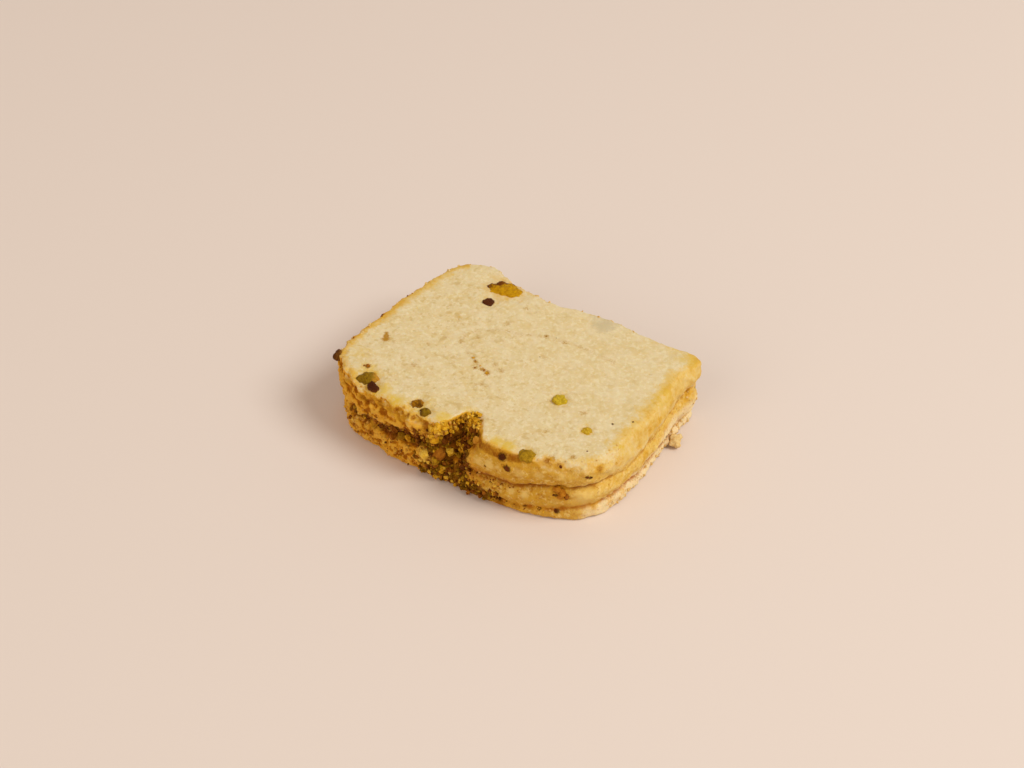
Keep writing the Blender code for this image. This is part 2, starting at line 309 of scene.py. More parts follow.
slab = dict(
    thickness=24, rimCrust=2.2, rimBase=0.9, foot=1.3, crackPosition=-2.2, crackTop=10.6, crackFoot=0.8,
    creaseDepth=1.7, valleyDepth=1.6, lowCreaseDepth=1, wanderShift=300,
    # each crease's width below and above its line, and how flat its bottom is
    mainForm=(1.7, 0.8, 1.3), valleyForm=(2.9, 2.3, 2), lowForm=(1.1, 1.7, 1.6),
    # runs round the slice: where each begins, is full, fades and ends
    crustRun=(-92, -70, 104, 118), roundedRun=(-86, -64, 98, 112), tornRun=(126, 200, 212, 236),
    crumblingRun=(60, 70, 92, 104), bulge=0.9, lowBulge=0.5, tornDepth=1.1, flare=0.9,
    # how finely it is made: columns round it, levels up it, rows across the cut face, then even faces
    columns=620, curveSteps=40, farthestRight=0.62, footLevels=[0, 0.3, 0.7, 1.2], levelStep=0.38,
    rimDrops=[1.8, 1.4, 1, 0.6, 0.35, 0.15], heart=(-6, 4),
    insets=[0.992, 0.98, 0.965, 0.945, 0.92, 0.89, 0.855, 0.81, 0.75, 0.68, 0.6, 0.5, 0.38, 0.24, 0.1],
    voxel=0.44, undersideKept=0.12,
    # lumps of the wall: scale across and upward, shift and height
    lumps=[(0.09, 0.11, 7, 0.9), (0.24, 0.3, 3, 0.55), (0.6, 0.75, 11, 0.25)],
    section=[(-57, -15.5), (-53.4, -23.4), (-44.5, -28.7), (-31, -31.2), (-14, -31.5), (3, -31.2),
             (19, -29.3), (31.5, -25), (39.6, -18.6), (42.9, -10.5), (43.2, 3), (42.2, 18), (41.2, 31),
             (41.6, 37.4), (38.8, 41.6), (25, 41.6), (7, 42.3), (-15, 39.2), (-32.5, 41.8), (-42, 44),
             (-50, 39.8), (-53.6, 32), (-56.4, 8)],
    mainCrease=[(-75, 8), (-48, 8.4), (-30, 10.8), (-12, 12.8), (4, 10.4), (20, 11.4), (36, 13.4), (50, 14.4),
                (66, 12.8), (82, 12.4), (102, 15.2), (112, 15.4)],
    lowCrease=[(0, 2.2), (14, 2.4), (32, 3.6), (44, 5.9), (56, 5.4), (68, 4), (90, 3.8), (108, 3.4)],
    wrinkles=[((-55, 22.5), (-37, 14), 0.9, 1), ((-58, 16.5), (-44, 9), 0.8, 0.9),
              ((-59, 9.6), (-46, 7.2), 1.3, 1), ((-40, 20.5), (-24, 17.5), 0.5, 1.1),
              ((26, 8.6), (40, 9.6), 0.35, 0.9)],
)


def alongPath(path, distance):
    if distance <= path[0][0]:
        return path[0][1]
    for (s0, z0), (s1, z1) in zip(path, path[1:]):
        if distance <= s1:
            return z0 + (z1 - z0) * ease(s0, s1, distance)
    return path[-1][1]


def sectionOutline(columns):
    # Evenly spaced points round the section, their outward directions and their distances from the split
    points = [Vector(p) for p in slab["section"]]
    count = len(points)
    fine = []
    for i in range(count):
        p0, p1, p2, p3 = (points[(i + k - 1) % count] for k in range(4))
        for step in range(slab["curveSteps"]):
            t = step / slab["curveSteps"]
            fine.append(0.5 * (2 * p1 + (p2 - p0) * t + (2 * p0 - 5 * p1 + 4 * p2 - p3) * t * t
                               + (3 * p1 - p0 - 3 * p2 + p3) * t * t * t))
    lengths = [0.0]
    for a, b in zip(fine, fine[1:] + fine[:1]):
        lengths.append(lengths[-1] + (b - a).length)
    perimeter = lengths[-1]
    crackIndex = min(range(len(fine)),
                     key=lambda k: abs(fine[k].x - slab["crackPosition"]) + max(0.0, fine[k].y) * 10)
    outline = []
    cursor = 0
    for i in range(columns):
        target = perimeter * i / columns
        while lengths[cursor + 1] < target:
            cursor += 1
        t = (target - lengths[cursor]) / (lengths[cursor + 1] - lengths[cursor])
        here = fine[cursor].lerp(fine[(cursor + 1) % len(fine)], t)
        distance = target - lengths[crackIndex]
        if distance > perimeter * slab["farthestRight"]:
            distance -= perimeter
        outline.append([here, None, distance])
    for i in range(columns):
        tangent = outline[(i + 2) % columns][0] - outline[i - 2][0]
        outline[i][1] = Vector((tangent.y, -tangent.x)).normalized()
    return outline


def groove(offset, below, above, power):
    return math.exp(-(abs(offset) / (above if offset > 0 else below)) ** power)


def wrinkleDepth(distance, height):
    total = 0.0
    for start, end, depth, halfWidth in slab["wrinkles"]:
        a = Vector(start)
        line = Vector(end) - a
        here = Vector((distance, height)) - a
        t = here.dot(line) / line.dot(line)
        ends = ease(-0.05, 0.2, t) * ease(1.05, 0.8, t)
        total += depth * ends * math.exp(-((here - line * t).length / halfWidth) ** 2)
    return total


def creaseWander(distance):
    slow = wave(distance * 0.19, 1.0, 0.0)
    return 0.5 * slow + 0.3 * wave(distance * 0.63, 4.0, 0.0)


def lump(point, height, across, upward, shift):
    return wave(point.x * across, point.y * across, height * upward + shift)


def crustOffset(point, distance, height):
    onCrust = easeSpan(distance, *slab["crustRun"])
    leftHalf = ease(-6, -16, distance)
    nearCrack = math.exp(-((distance - 1) / 8.5) ** 2)
    mainHeight = alongPath(slab["mainCrease"], distance) + creaseWander(distance)
    lowHeight = alongPath(slab["lowCrease"], distance) + creaseWander(distance + slab["wanderShift"])
    # the main crease is sharp right of the split, and a wide valley left of it
    rightDepth = slab["creaseDepth"] * (1 - 0.6 * ease(44, 60, distance))
    rightDepth *= 0.95 + 0.7 * wave(distance * 0.17, 8.0, 0.0)
    sharp = groove(height - mainHeight, *slab["mainForm"]) * rightDepth
    valley = groove(height - mainHeight, *slab["valleyForm"]) * slab["valleyDepth"]
    main = (sharp * (1 - leftHalf) + valley * leftHalf) * onCrust * (1 - 0.6 * nearCrack)
    low = groove(height - lowHeight, *slab["lowForm"]) * slab["lowCreaseDepth"]
    low *= onCrust * ease(4, 12, distance)
    bulge = slab["bulge"] * math.sin(math.pi * ease(mainHeight, slab["thickness"], height)) * onCrust
    bulge += slab["lowBulge"] * math.sin(math.pi * ease(lowHeight, mainHeight, height)) * onCrust
    lumps = sum(high * lump(point, height, *scales) for *scales, high in slab["lumps"])
    # the far side's rim is torn, and the right-hand foot crumbles
    torn = easeSpan(distance, *slab["tornRun"]) * ease(12, 22, height)
    torn *= 0.5 + lump(point, height, 0.35, 0.3, 0)
    crumbling = easeSpan(distance, *slab["crumblingRun"]) * ease(7, 1, height)
    crumbling *= 0.9 * lump(point, height, 0.5, 0.4, 5)
    raised = bulge + lumps + crumbling
    return raised - main - low - wrinkleDepth(distance, height) - slab["tornDepth"] * torn


def crackOffset(distance, height):
    depth = slab["crackFoot"] + (slab["crackTop"] - slab["crackFoot"]) * ease(0, 20, height)
    across = distance - 1.2 * wave(height * 0.16, 2.0, 0.0)
    lip = ease(22, 14, height)
    left = ease(-7.6 - 2.0 * lip, -1.6 - 2.4 * lip, across)
    right = ease(10.5 - 6.0 * lip, 0.4 - 2.4 * lip, across)
    return depth * left * right * (1 + 0.25 * wave(across * 0.35, height * 0.35, 4.0))


def rounding(past, radius):
    # How far a rounded edge draws back from the wall, at a height past its start
    share = max(0.0, past) / radius
    return radius * (1 - math.sqrt(max(0.0, 1 - share * share)))


def edgeDrop(distance, height):
    rim = slab["rimBase"] + (slab["rimCrust"] - slab["rimBase"]) * easeSpan(distance, *slab["roundedRun"])
    foot = slab["foot"]
    return rounding(height - slab["thickness"] + rim, rim) + rounding(foot - height, foot)


def wallPoint(entry, height):
    point, outward, distance = entry
    flare = slab["flare"] * math.exp(-((distance - 104) / 7) ** 2) * ease(12, 24, height)
    here = point + outward * (crustOffset(point, distance, height) - edgeDrop(distance, height) + flare)
    here.y += crackOffset(distance, height)
    return Vector((here.x, here.y, height))


def cutFaceHeight(x, y):
    return 0.35 * wave(x * 0.035, y * 0.05, 1.0) + 0.16 * wave(x * 0.16, y * 0.16, 6.0)


def buildSlab(outline):
    columns, insets, heart = slab["columns"], slab["insets"], Vector(slab["heart"])
    levels = list(slab["footLevels"])
    while levels[-1] < slab["thickness"] - 2.4:
        levels.append(levels[-1] + slab["levelStep"])
    levels += [slab["thickness"] - drop for drop in slab["rimDrops"]]
    rows = len(levels) + len(insets) - 1
    rim = [wallPoint(entry, levels[-1]) for entry in outline]
    places = []
    for row in range(rows + 1):
        for column in range(columns + 1):
            k = column % columns
            if row < len(levels):
                here = wallPoint(outline[k], levels[row])
            else:
                inset = insets[row - len(levels)]
                flat = heart + (Vector((rim[k].x, rim[k].y)) - heart) * inset
                lift = 0.15 * ease(1.0, 0.97, inset) + cutFaceHeight(flat.x, flat.y) * ease(1.0, 0.93, inset)
                here = Vector((flat.x, flat.y, levels[-1] + lift))
            places.append(fromSection(*here))
    deselectAll()
    bpy.ops.mesh.primitive_grid_add(x_subdivisions=columns, y_subdivisions=rows, size=2)
    body = bpy.context.object
    body.name = "cakeBody"
    # the grid is wrapped round the section: each of its points goes to the place of its row and column
    grid = vectorsOf(body)
    column = np.rint((grid[:, 0] + 1) / 2 * columns).astype(int)
    row = np.rint((grid[:, 1] + 1) / 2 * rows).astype(int)
    setCoordinates(body, np.array(places)[row * (columns + 1) + column])
    mendMesh(0.002, fill=True)
    remeshEvenly(body, slab["voxel"])
    applyModifiers(body)
    print("slab formed:", len(body.data.vertices), "points")
    return body


def surveyBody(body, outline):
    # Where each point lies: section millimetres, distance along the crust, depth inside the outline, facing
    places = vectorsOf(body) / mm + np.array(sectionMiddle)
    facing = vectorsOf(body, "normal")
    tree = KDTree(len(outline))
    for k, entry in enumerate(outline):
        tree.insert((entry[0].x, entry[0].y, 0.0), k)
    tree.balance()
    nearest = np.array([tree.find((x, y, 0.0))[1] for x, y, z in places])
    points = np.array([entry[0] for entry in outline])[nearest]
    outward = np.array([entry[1] for entry in outline])[nearest]
    along = np.array([entry[2] for entry in outline])[nearest]
    inside = ((points - places[:, :2]) * outward).sum(1)
    x, y, z = places.T
    return dict(x=x, y=y, z=z, along=along, inside=inside, level=facing[:, 2])


def crumbWall(here):
    # The upper part of the right-hand wall has no crust: crumb runs over the rim there
    return (smoothStep(13.5, 19, here["z"]) * span(here["along"], 42, 60, 104, 112)
            * smoothStep(7, 1.5, here["inside"]))


def weigh(body, name, weights):
    group = body.vertex_groups.new(name=name)
    for step in range(1, 11):
        chosen = np.nonzero(np.rint(weights * 10) == step)[0].tolist()
        if chosen:
            group.add(chosen, step / 10, "REPLACE")
    return group.name


def displace(body, name, kind, size, strength, group="", middle=0.5, stops=(), **settings):
    texture = bpy.data.textures.new(name, kind)
    texture.noise_scale = size * mm
    texture.use_color_ramp = bool(stops)
    for setting, value in settings.items():
        setattr(texture, setting, value)
    if stops:
        for element, (position, tone) in zip(texture.color_ramp.elements, stops):
            element.position = position
            element.color = (tone, tone, tone, 1)
    modifier = body.modifiers.new(name, "DISPLACE")
    modifier.texture = texture
    modifier.texture_coords = "LOCAL"
    modifier.strength = strength * mm
    modifier.mid_level = middle
    modifier.vertex_group = group


relief = dict(
    # scale and height of each layer: the cut face's, then the crust's
    lumps=(5, 0.35), grain=(2, 0.1), pores=(1.8, -0.1), holes=(3.8, -0.32),
    skin=(1, 0.26), skinFolds=(2.6, 0.65), tornGrain=(1.1, 0.7), tornFolds=(2.7, -1), nutDip=0.35,
    # the left-hand crust: a ridge's run, width, slant and height, and the size and height of its clumps
    ridgeRun=8, ridgeWidth=2.6, ridgeSlant=0.42, ridgeHeight=1.2, clump=3.3, clumpHeight=0.9,
    # its own lumps and hollows (x, y, z, radius, height), and the ridges that run down from the rim
    tornLumps=[(-19, -32.4, 19.5, 1.7, 0.9), (-16.6, -32.4, 20, 1.3, 0.7), (-21.4, -29.3, 10.9, 1.2, 0.9),
               (-14.9, -31.3, 9, 2.2, 1.1), (-43.2, -29, 6.5, 2.4, 0.8), (-36.7, -30.4, 2.8, 1.8, 0.5),
               (-30.4, -31.1, 3.2, 1.8, 0.6), (-26.3, -31.7, 4.2, 1.6, 0.5), (-20.8, -31.9, 8.1, 1.6, 0.6),
               (-32.3, -31.6, 17.6, 1.6, 0.6), (-29.8, -30.4, 12.8, 1.8, 1.2), (-41, -29, 12.2, 1.9, 1.2),
               (-35.6, -30, 12.6, 1.5, 0.9), (-18.4, -30.6, 12, 1.6, 0.9)],
    tornHollows=[(-41.7, -29.6, 20.3, 1.5, 1), (-39.5, -30.4, 19, 1.7, 1.2), (-37.8, -31.1, 17.4, 1.3, 0.9),
                 (-31.8, -31.5, 21, 1.5, 0.8), (-35.8, -29.5, 9.2, 2.4, 0.9), (-12.2, -32.5, 17.4, 1.8, 0.9),
                 (-23.8, -32.3, 18.2, 1.4, 0.6), (-47.6, -26.6, 9, 1.8, 1), (-49.4, -26.9, 21.2, 0.8, 0.7)],
    tornRidges=[([(-49.2, -26, 23), (-43.8, -28.3, 22.6), (-40.3, -29.8, 21.7), (-37.8, -30.5, 20),
                  (-34.7, -31.6, 18.5)], 0.9),
                ([(-52.5, -25, 20.4), (-50.3, -26.7, 18.3), (-48.1, -28, 16.9), (-46.3, -28.9, 15.5),
                  (-45.4, -28.6, 12.6)], 1),
                ([(-31, -32, 16.6), (-26.4, -32.2, 16.4), (-21.6, -32.2, 17.4)], 0.6)],
    tornRidgeWidth=0.95,
)


def tornRun(along):
    # The crust is most torn up to the left corner, and calmer down the side beyond it
    return (0.3 + 0.7 * smoothStep(-88, -62, along)) * smoothStep(-122, -100, along)


def crumpleCrust(body, outline):
    # The crust left of the split is torn: slanting ridges far from the split, clumps near it
    here = surveyBody(body, outline)
    share = smoothStep(-4, -14, here["along"]) * tornRun(here["along"])
    share *= 1 - smoothStep(0.5, 0.9, np.abs(here["level"]))
    share *= smoothStep(0.3, 2.0, here["z"])
    near = np.maximum(smoothStep(-42, -22, here["along"]), smoothStep(11, 7, here["z"]))
    own = spotSum(here, relief["tornLumps"]) - spotSum(here, relief["tornHollows"])
    own += lineSum(here, relief["tornRidges"], relief["tornRidgeWidth"])
    places = vectorsOf(body)
    facing = vectorsOf(body, "normal")
    for k in np.nonzero(share > 0.01)[0]:
        along, z = here["along"][k], here["z"][k]
        across = (z + relief["ridgeSlant"] * along) / relief["ridgeWidth"]
        run = along / relief["ridgeRun"]
        warp = wave(along * 0.12, z * 0.16, 9.0) * 1.6
        ridge = 1 - 2 * abs(wave(run, across * 0.5 + warp, 2.0)) - 0.6
        ridge += 0.2 * wave(run * 2.3, across * 1.3, 5.0)
        spot = Vector((here["x"][k], here["y"][k], z)) / relief["clump"]
        clump = noise.noise(spot) + 0.4 * noise.noise(spot * 2.2)
        height = (1 - 0.75 * near[k]) * ridge * relief["ridgeHeight"]
        height += (0.3 + 0.7 * near[k]) * clump * relief["clumpHeight"]
        places[k] += facing[k] * (height + own[k]) * mm * share[k]
    setCoordinates(body, places)


def dipRoundNuts(body):
    # The crumb dips a little round each larger nut, so that the nut shows down to its widest part
    places = vectorsOf(body)
    upper = places[:, 2] > 20 * mm
    for name in nuts:
        lowest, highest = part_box(name)
        middle, reach = (lowest + highest) / 2, (highest - lowest) / 2
        away = np.hypot((places[:, 0] - middle.x) / reach.x, (places[:, 1] - middle.y) / reach.y)
        places[:, 2] -= relief["nutDip"] * mm * smoothStep(1.7, 1.0, away) * upper
    setCoordinates(body, places)


def roughenBody(body, outline):
    # Crumb pores on the cut face, a finer skin on the crust, and an underside with few points
    crumpleCrust(body, outline)
    dipRoundNuts(body)
    here = surveyBody(body, outline)
    top = smoothStep(0.4, 0.8, here["level"])
    top = np.maximum(top, crumbWall(here) * smoothStep(-0.3, 0.1, here["level"]))
    wall = (1 - smoothStep(0.45, 0.85, np.abs(here["level"]))) * smoothStep(0.3, 1.0, here["z"])
    crumb = weigh(body, "crumb", top)
    crust = weigh(body, "crust", wall)
    torn = weigh(body, "torn", wall * smoothStep(-6, -14, here["along"]) * tornRun(here["along"]))
    for name, group, kind, settings in (
            ("lumps", crumb, "CLOUDS", {}), ("grain", crumb, "CLOUDS", dict(noise_depth=2)),
            ("pores", crumb, "VORONOI", dict(middle=0.0, stops=[(0.05, 1.0), (0.45, 0.0)])),
            ("holes", crumb, "VORONOI", dict(middle=0.0, stops=[(0.02, 1.0), (0.2, 0.0)])),
            ("skin", crust, "CLOUDS", dict(noise_depth=2)),
            ("skinFolds", crust, "CLOUDS", dict(noise_depth=1)),
            ("tornGrain", torn, "CLOUDS", dict(noise_depth=2)),
            ("tornFolds", torn, "CLOUDS", dict(middle=0.25, noise_type="HARD_NOISE", noise_depth=2))):
        displace(body, name, kind, *relief[name], group=group, **settings)
    applyModifiers(body)
    # the flat underside needs few points
    flat = here["z"] < 0.25
    thin = body.modifiers.new("thinUnderside", "DECIMATE")
    thin.ratio = 1 - float(flat.mean()) * (1 - slab["undersideKept"])
    thin.vertex_group = weigh(body, "underside", flat.astype(float) * (here["inside"] > 2))
    applyModifiers(body)
    body.vertex_groups.clear()
    keepAboveFloor(body)
    deselectAll()
    body.data.shade_smooth()
    print("body roughened:", sum(len(face.vertices) - 2 for face in body.data.polygons), "triangles")


# Masks on the body: where the crust is browned, creased and stained, where shade is painted, and the marks on
# the cut face

marks = dict(
    # soft spots on the cut face: x, y, radius, strength
    tan=[(-47.5, -7.7, 1.3, 1.4), (-48.3, -6.4, 1.1, 1.4), (-49.1, -5.2, 0.8, 1.2), (-31.8, -13.2, 1.8, 0.6),
         (-34.5, -2.2, 1.2, 0.5), (-32, 4.1, 1.2, 0.45), (-26.5, 4.9, 1.2, 0.5), (-10.6, 1.4, 1.6, 0.5),
         (-19.5, 20.8, 1.6, 0.5), (-7.1, -8.5, 1.4, 0.55), (-34, 14.1, 1.5, 0.45), (-45.8, 9.1, 1.3, 0.4),
         (-23.2, 10, 1.3, 0.6), (-19, 31, 1.6, 0.55),
         (-43.6, -21.9, 1.2, 1), (-15.1, -3.3, 0.9, 1), (-10.5, -3.1, 1.3, 1), (-18.4, 0.4, 1, 0.8),
         (-12.8, -2.6, 1, 1), (-7.4, 0.4, 1.6, 0.6), (-16.6, -0.8, 0.9, 1), (-8.6, -8.6, 1.2, 0.6),
         (-1.2, 13, 0.9, 0.4), (-10, -9.5, 1.2, 0.5), (20.2, 11.7, 1, 0.4), (25, -2, 1.6, 0.6),
         (20.5, -15.4, 2, 0.55), (10, -9, 1.6, 0.4), (33.4, -20.5, 1.3, 0.8), (28.8, -25.2, 2.2, 1),
         (-5.4, 22.9, 1.2, 0.8), (1.2, 23.4, 1.6, 0.6), (-30, 31, 1, 0.3), (-43, 21, 1.2, 0.4)],
    grey=[(7, 38.7, 5.2, 1), (2.5, 40, 3.4, 0.6)],
    # yellow where nut oil has soaked in
    oiled=[(-41.5, -24, 4.4, 0.9), (-33, -28, 3.6, 1), (-26, -29.5, 3.2, 1), (-18, -27.5, 4.2, 0.9),
           (-9.5, -28, 3, 1.2), (-4, -21.5, 2.6, 0.9), (10.5, -27.5, 2.6, 1.3), (14.5, -27.6, 2.6, 1.3),
           (21.7, -26.8, 3, 0.9), (15.7, -0.8, 2.8, 0.5), (30.5, -8, 2.4, 0.45), (-27, 33.5, 3.6, 0.4),
           (-50, -18, 4, 0.6), (42.3, -8, 3.2, 0.45), (39.9, 16.1, 4, 0.45), (41.5, 21.3, 3.6, 0.5),
           (38.1, 38.5, 4.2, 0.65)],
    # browned, dark and pale patches on the crust: x, y, z, radius, strength
    browned=[(-31.8, -31.5, 21.5, 1.8, 1), (-39.9, -30.5, 19.3, 2.2, 1.1), (-47.3, -28.2, 20.4, 2, 0.7),
             (-22.4, -30.8, 23.2, 0.9, 1.2), (15.6, -31.3, 18.9, 1.8, 0.9),
             (27.6, -25.8, 23.2, 2.2, 0.9), (30.6, -24.6, 22.6, 1.4, 0.9),
             (-24.5, -31.6, 22.4, 1.3, 1.2), (-22.4, -31.9, 22.2, 1.3, 1.2), (-20.2, -31.9, 22.2, 1.3, 1.2),
             (-18, -32, 22.3, 1.3, 1.2), (-15.8, -32, 22.3, 1.4, 1.2), (-13.2, -32, 21.4, 2.2, 1.3),
             (-23.6, -32, 20.2, 2.6, 0.8), (-14, -32.3, 20, 2.4, 0.8),
             (-12.2, -32.3, 18.6, 2.4, 0.9), (-35.5, -29, 9, 3, 0.9), (41.2, -17.4, 20.6, 2, 0.9),
             (39.6, -18.9, 22.5, 2, 0.5), (43.3, -11.1, 19.7, 0.9, 0.9), (39.6, -17.3, 5.4, 2.8, 0.6),
             (42, -12, 4.6, 2.4, 0.5), (42.9, -6, 3.9, 2.6, 0.5), (40.5, 34.9, 14.7, 2.8, 0.8),
             (43.6, 7.5, 19.6, 2.4, 0.7), (43.8, 13.1, 19.8, 1.6, 0.7), (44.1, 1, 17.6, 1.4, 0.6),
             (43.6, -9.8, 19.3, 2.2, 0.6), (12.8, -29.3, 1.9, 3.5, 1.1), (18.4, -28.5, 2.4, 3, 0.9),
             (25.5, -26.5, 3.2, 2.4, 0.7), (31.2, -24.4, 11.2, 3.6, 0.9), (43.5, 20, 10, 3, 0.7),
             (43.8, 6, 9.5, 2.6, 0.7), (43.6, 29, 9, 2.2, 0.7)],
    pale=[(6.6, -31.4, 17, 2.6, 1), (10.6, -31.8, 17.2, 2.6, 1), (13.4, -31.6, 17.8, 1.6, 0.8),
          (3.6, -30.4, 18, 1.6, 0.8), (20.5, -30.2, 17, 3, 0.8), (26, -27.8, 18, 3, 0.8),
          (32.5, -24.6, 19, 2.6, 0.8), (37.6, -20.6, 10.4, 4.2, 1.1), (30.5, -25, 8, 2.6, 0.7),
          (17.4, -29.7, 8.6, 2.4, 0.9), (21.6, -28.9, 8.8, 2.2, 0.8),
          (40, -15, 9.8, 3, 0.8), (22, -28.6, 7.2, 2.2, 0.6), (-19, -32.4, 19.5, 1.7, 1),
          (-16.6, -32.4, 20, 1.3, 0.9), (-43.2, -29, 6.5, 2.6, 0.9), (-21.4, -29.3, 10.9, 1.2, 0.9)],
    # brown strips under the rim, each a run of places with its strength
    brownStrips=[([(3.4, -27.4, 22.2), (6.4, -29.4, 21.8), (10.4, -30.4, 22.2), (15, -30.6, 22.6),
                   (19.4, -29.8, 22.8)], 1.4),
                 ([(19.4, -29.8, 22.4), (24, -27.9, 22.4), (28, -25.9, 22.8), (32, -24.3, 22.4)], 0.7),
                 ([(-36, -30.2, 21.6), (-29, -31.6, 21.2), (-22, -32.2, 20.9)], 0.8)],
    brownStripWidth=2,
    dark=[(14.5, -30.5, 21.7, 1.7, 1.3), (16.8, -31.3, 18.7, 1.6, 1.2), (9, -31.7, 16.1, 0.7, 1.1),
          (38.9, -20.9, 19.1, 0.8, 1.2), (39.5, -20.1, 18.4, 0.8, 1.2), (30.6, -25, 10.4, 0.9, 1.1),
          (30.6, -24.3, 3, 1.2, 1.2), (21.1, -27.8, 3.1, 1, 1), (25.5, -26.5, 3.2, 1.1, 1),
          (41.1, 39.2, 13.6, 0.8, 1.1), (42, 21.1, 5.9, 1, 0.9), (-27.3, -29.4, 11, 2.2, 1.1),
          (-25, -29.1, 10.3, 2.2, 1.1), (-48.5, -26, 7, 1.8, 0.9), (-47, -28, 12, 1.6, 0.9),
          (-18.6, -30.4, 9.8, 0.9, 1.1), (-17.8, -32.2, 6.1, 0.9, 1.1), (-30.5, -31.5, 20.3, 1.2, 0.8),
          (39.8, 3.4, 24, 0.6, 1.1), (35.1, -0.8, 23.9, 0.6, 1.1)],
    # faint swirl lines on the cut face, each a run of points with its strength
    swirls=[([(-25, 3.9), (-19, 0.6), (-14.5, -2), (-10.5, -3.1)], 0.8),
            ([(-26.5, 4.9), (-27.9, 9), (-25.1, 13.5), (-18.3, 17.9), (-13.1, 18.9), (-5.9, 22.8),
              (5.7, 24.6), (19.5, 24.4)], 0.75)],
    swirlWidth=1.3,
)


def spotSum(here, spots):
    # Each spot is a place in two or three coordinates, then its radius and strength
    total = np.zeros(len(here["x"]))
    for spot in spots:
        place, (radius, strength) = spot[:-2], spot[-2:]
        squares = sum((here[axis] - value) ** 2 for axis, value in zip("xyz", place))
        total = np.maximum(total, strength * np.exp(-squares / radius ** 2))
    return total


def lineSum(here, lines, width):
    # Each line is a run of places in two or three coordinates, and its strength
    total = np.zeros(len(here["x"]))
    for points, strength in lines:
        for start, end in zip(points, points[1:]):
            run = [b - a for a, b in zip(start, end)]
            gaps = [here[axis] - value for axis, value in zip("xyz", start)]
            reach = sum(gap * step for gap, step in zip(gaps, run))
            t = np.clip(reach / sum(step * step for step in run), 0, 1)
            squares = sum((gap - t * step) ** 2 for gap, step in zip(gaps, run))
            total = np.maximum(total, strength * np.exp(-squares / width ** 2))
    return total


def pathHeights(path, along):
    heights = np.full(len(along), path[0][1], float)
    for (s0, z0), (s1, z1) in zip(path, path[1:]):
        heights = np.where(along > s0, z0 + (z1 - z0) * smoothStep(s0, s1, along), heights)
    return heights


def hollowness(body, rounds, full):
    # How far each point lies below the average of its neighbourhood, as a share of a full depth
    edges = np.empty(len(body.data.edges) * 2, int)
    body.data.edges.foreach_get("vertices", edges)
    edges = edges.reshape(-1, 2)
    start = vectorsOf(body)
    places = start.copy()
    ends = np.concatenate([edges[:, 0], edges[:, 1]])
    others = np.concatenate([edges[:, 1], edges[:, 0]])
    links = np.bincount(ends, minlength=len(start))
    for step in range(rounds):
        sums = [np.bincount(ends, weights=places[others, axis], minlength=len(start)) for axis in range(3)]
        places = np.stack(sums, 1) / links[:, None]
    return np.clip(((places - start) * vectorsOf(body, "normal")).sum(1) / (full * mm), -1, 1)


def paint(body, name, values):
    attribute = body.data.attributes.new(name, "FLOAT", "POINT")
    attribute.data.foreach_set("value", np.clip(values, 0, 1).astype(np.float32))


def crumbShare(here):
    # Where crumb shows: the cut faces, the rim of the two hidden sides and the upper right-hand wall
    along, z, level = here["along"], here["z"], here["level"]
    # crust reaches over the rim right of the split, and crumb runs softly down the wall further on
    softer = span(along, 20, 34, 104, 112)
    browner = 0.4 * span(along, -2, 2, 20, 30) - 0.3 * softer
    top = smoothStep(0.2 + browner, 0.65 + np.abs(browner), level) * smoothStep(20 - 2 * softer, 22, z)
    top += smoothStep(-0.5, -0.85, level)
    hiddenRim = np.maximum(smoothStep(110, 122, along), smoothStep(-66, -84, along)) * smoothStep(19, 22.5, z)
    hiddenRim *= 0.9 * smoothStep(6, 2, here["inside"])
    return np.maximum(top, np.maximum(0.85 * crumbWall(here), hiddenRim))


def creaseHeights(path, along, shift):
    # A crease's height at each point, with the wander that it has in the form
    first, step = -400.0, 0.25
    wander = np.array([creaseWander(distance) for distance in np.arange(first, 700.0, step)])
    return pathHeights(path, along) + wander[((along + (shift - first)) / step).astype(int)]


def paintCreases(body, here):
    along, z = here["along"], here["z"]
    left = smoothStep(-6, -14, along)
    right = (1 - left) * span(along, -96, -76, 108, 124)
    above = z - creaseHeights(slab["mainCrease"], along, 0)
    aboveLow = z - creaseHeights(slab["lowCrease"], along, slab["wanderShift"])
    # the line of a crease, brown with painted shade and wider near the split, and the softer painted shade
    # that runs above it
    lineWidth = 1.0 + 0.6 * smoothStep(40, 10, along)
    mainLine = np.exp(-(np.abs(above) / lineWidth) ** 1.5) * right * (1 - 0.7 * smoothStep(38, 58, along))
    mainShade = np.exp(-((above - 1.2) / 2.2) ** 2) * right
    lowLine = np.exp(-(np.abs(aboveLow) / 1.2) ** 1.5) * right
    # the wide valley left of the split, which takes painted shade
    valley = np.exp(-(np.abs(above) / 3.2) ** 2) * left * (0.6 + 0.7 * np.exp(-((along + 26) / 10) ** 2))
    paint(body, "mainCrease", mainLine * smoothStep(110, 96, along))
    paint(body, "creaseShade", mainShade * (0.55 + 0.45 * smoothStep(36, 8, along)))
    paint(body, "lowCrease", lowLine * span(along, 4, 12, 84, 104))
    paint(body, "valley", valley * smoothStep(-62, -46, along))
    # how brown the crust is: most left of the split, less towards the right-hand front corner
    leftToast = left * smoothStep(-124, -70, along)
    paint(body, "toasted", np.maximum(leftToast, (1 - left) * span(along, -20, -4, 1, 12)))
    paint(body, "frontCrust", span(along, -20, -4, 22, 62))


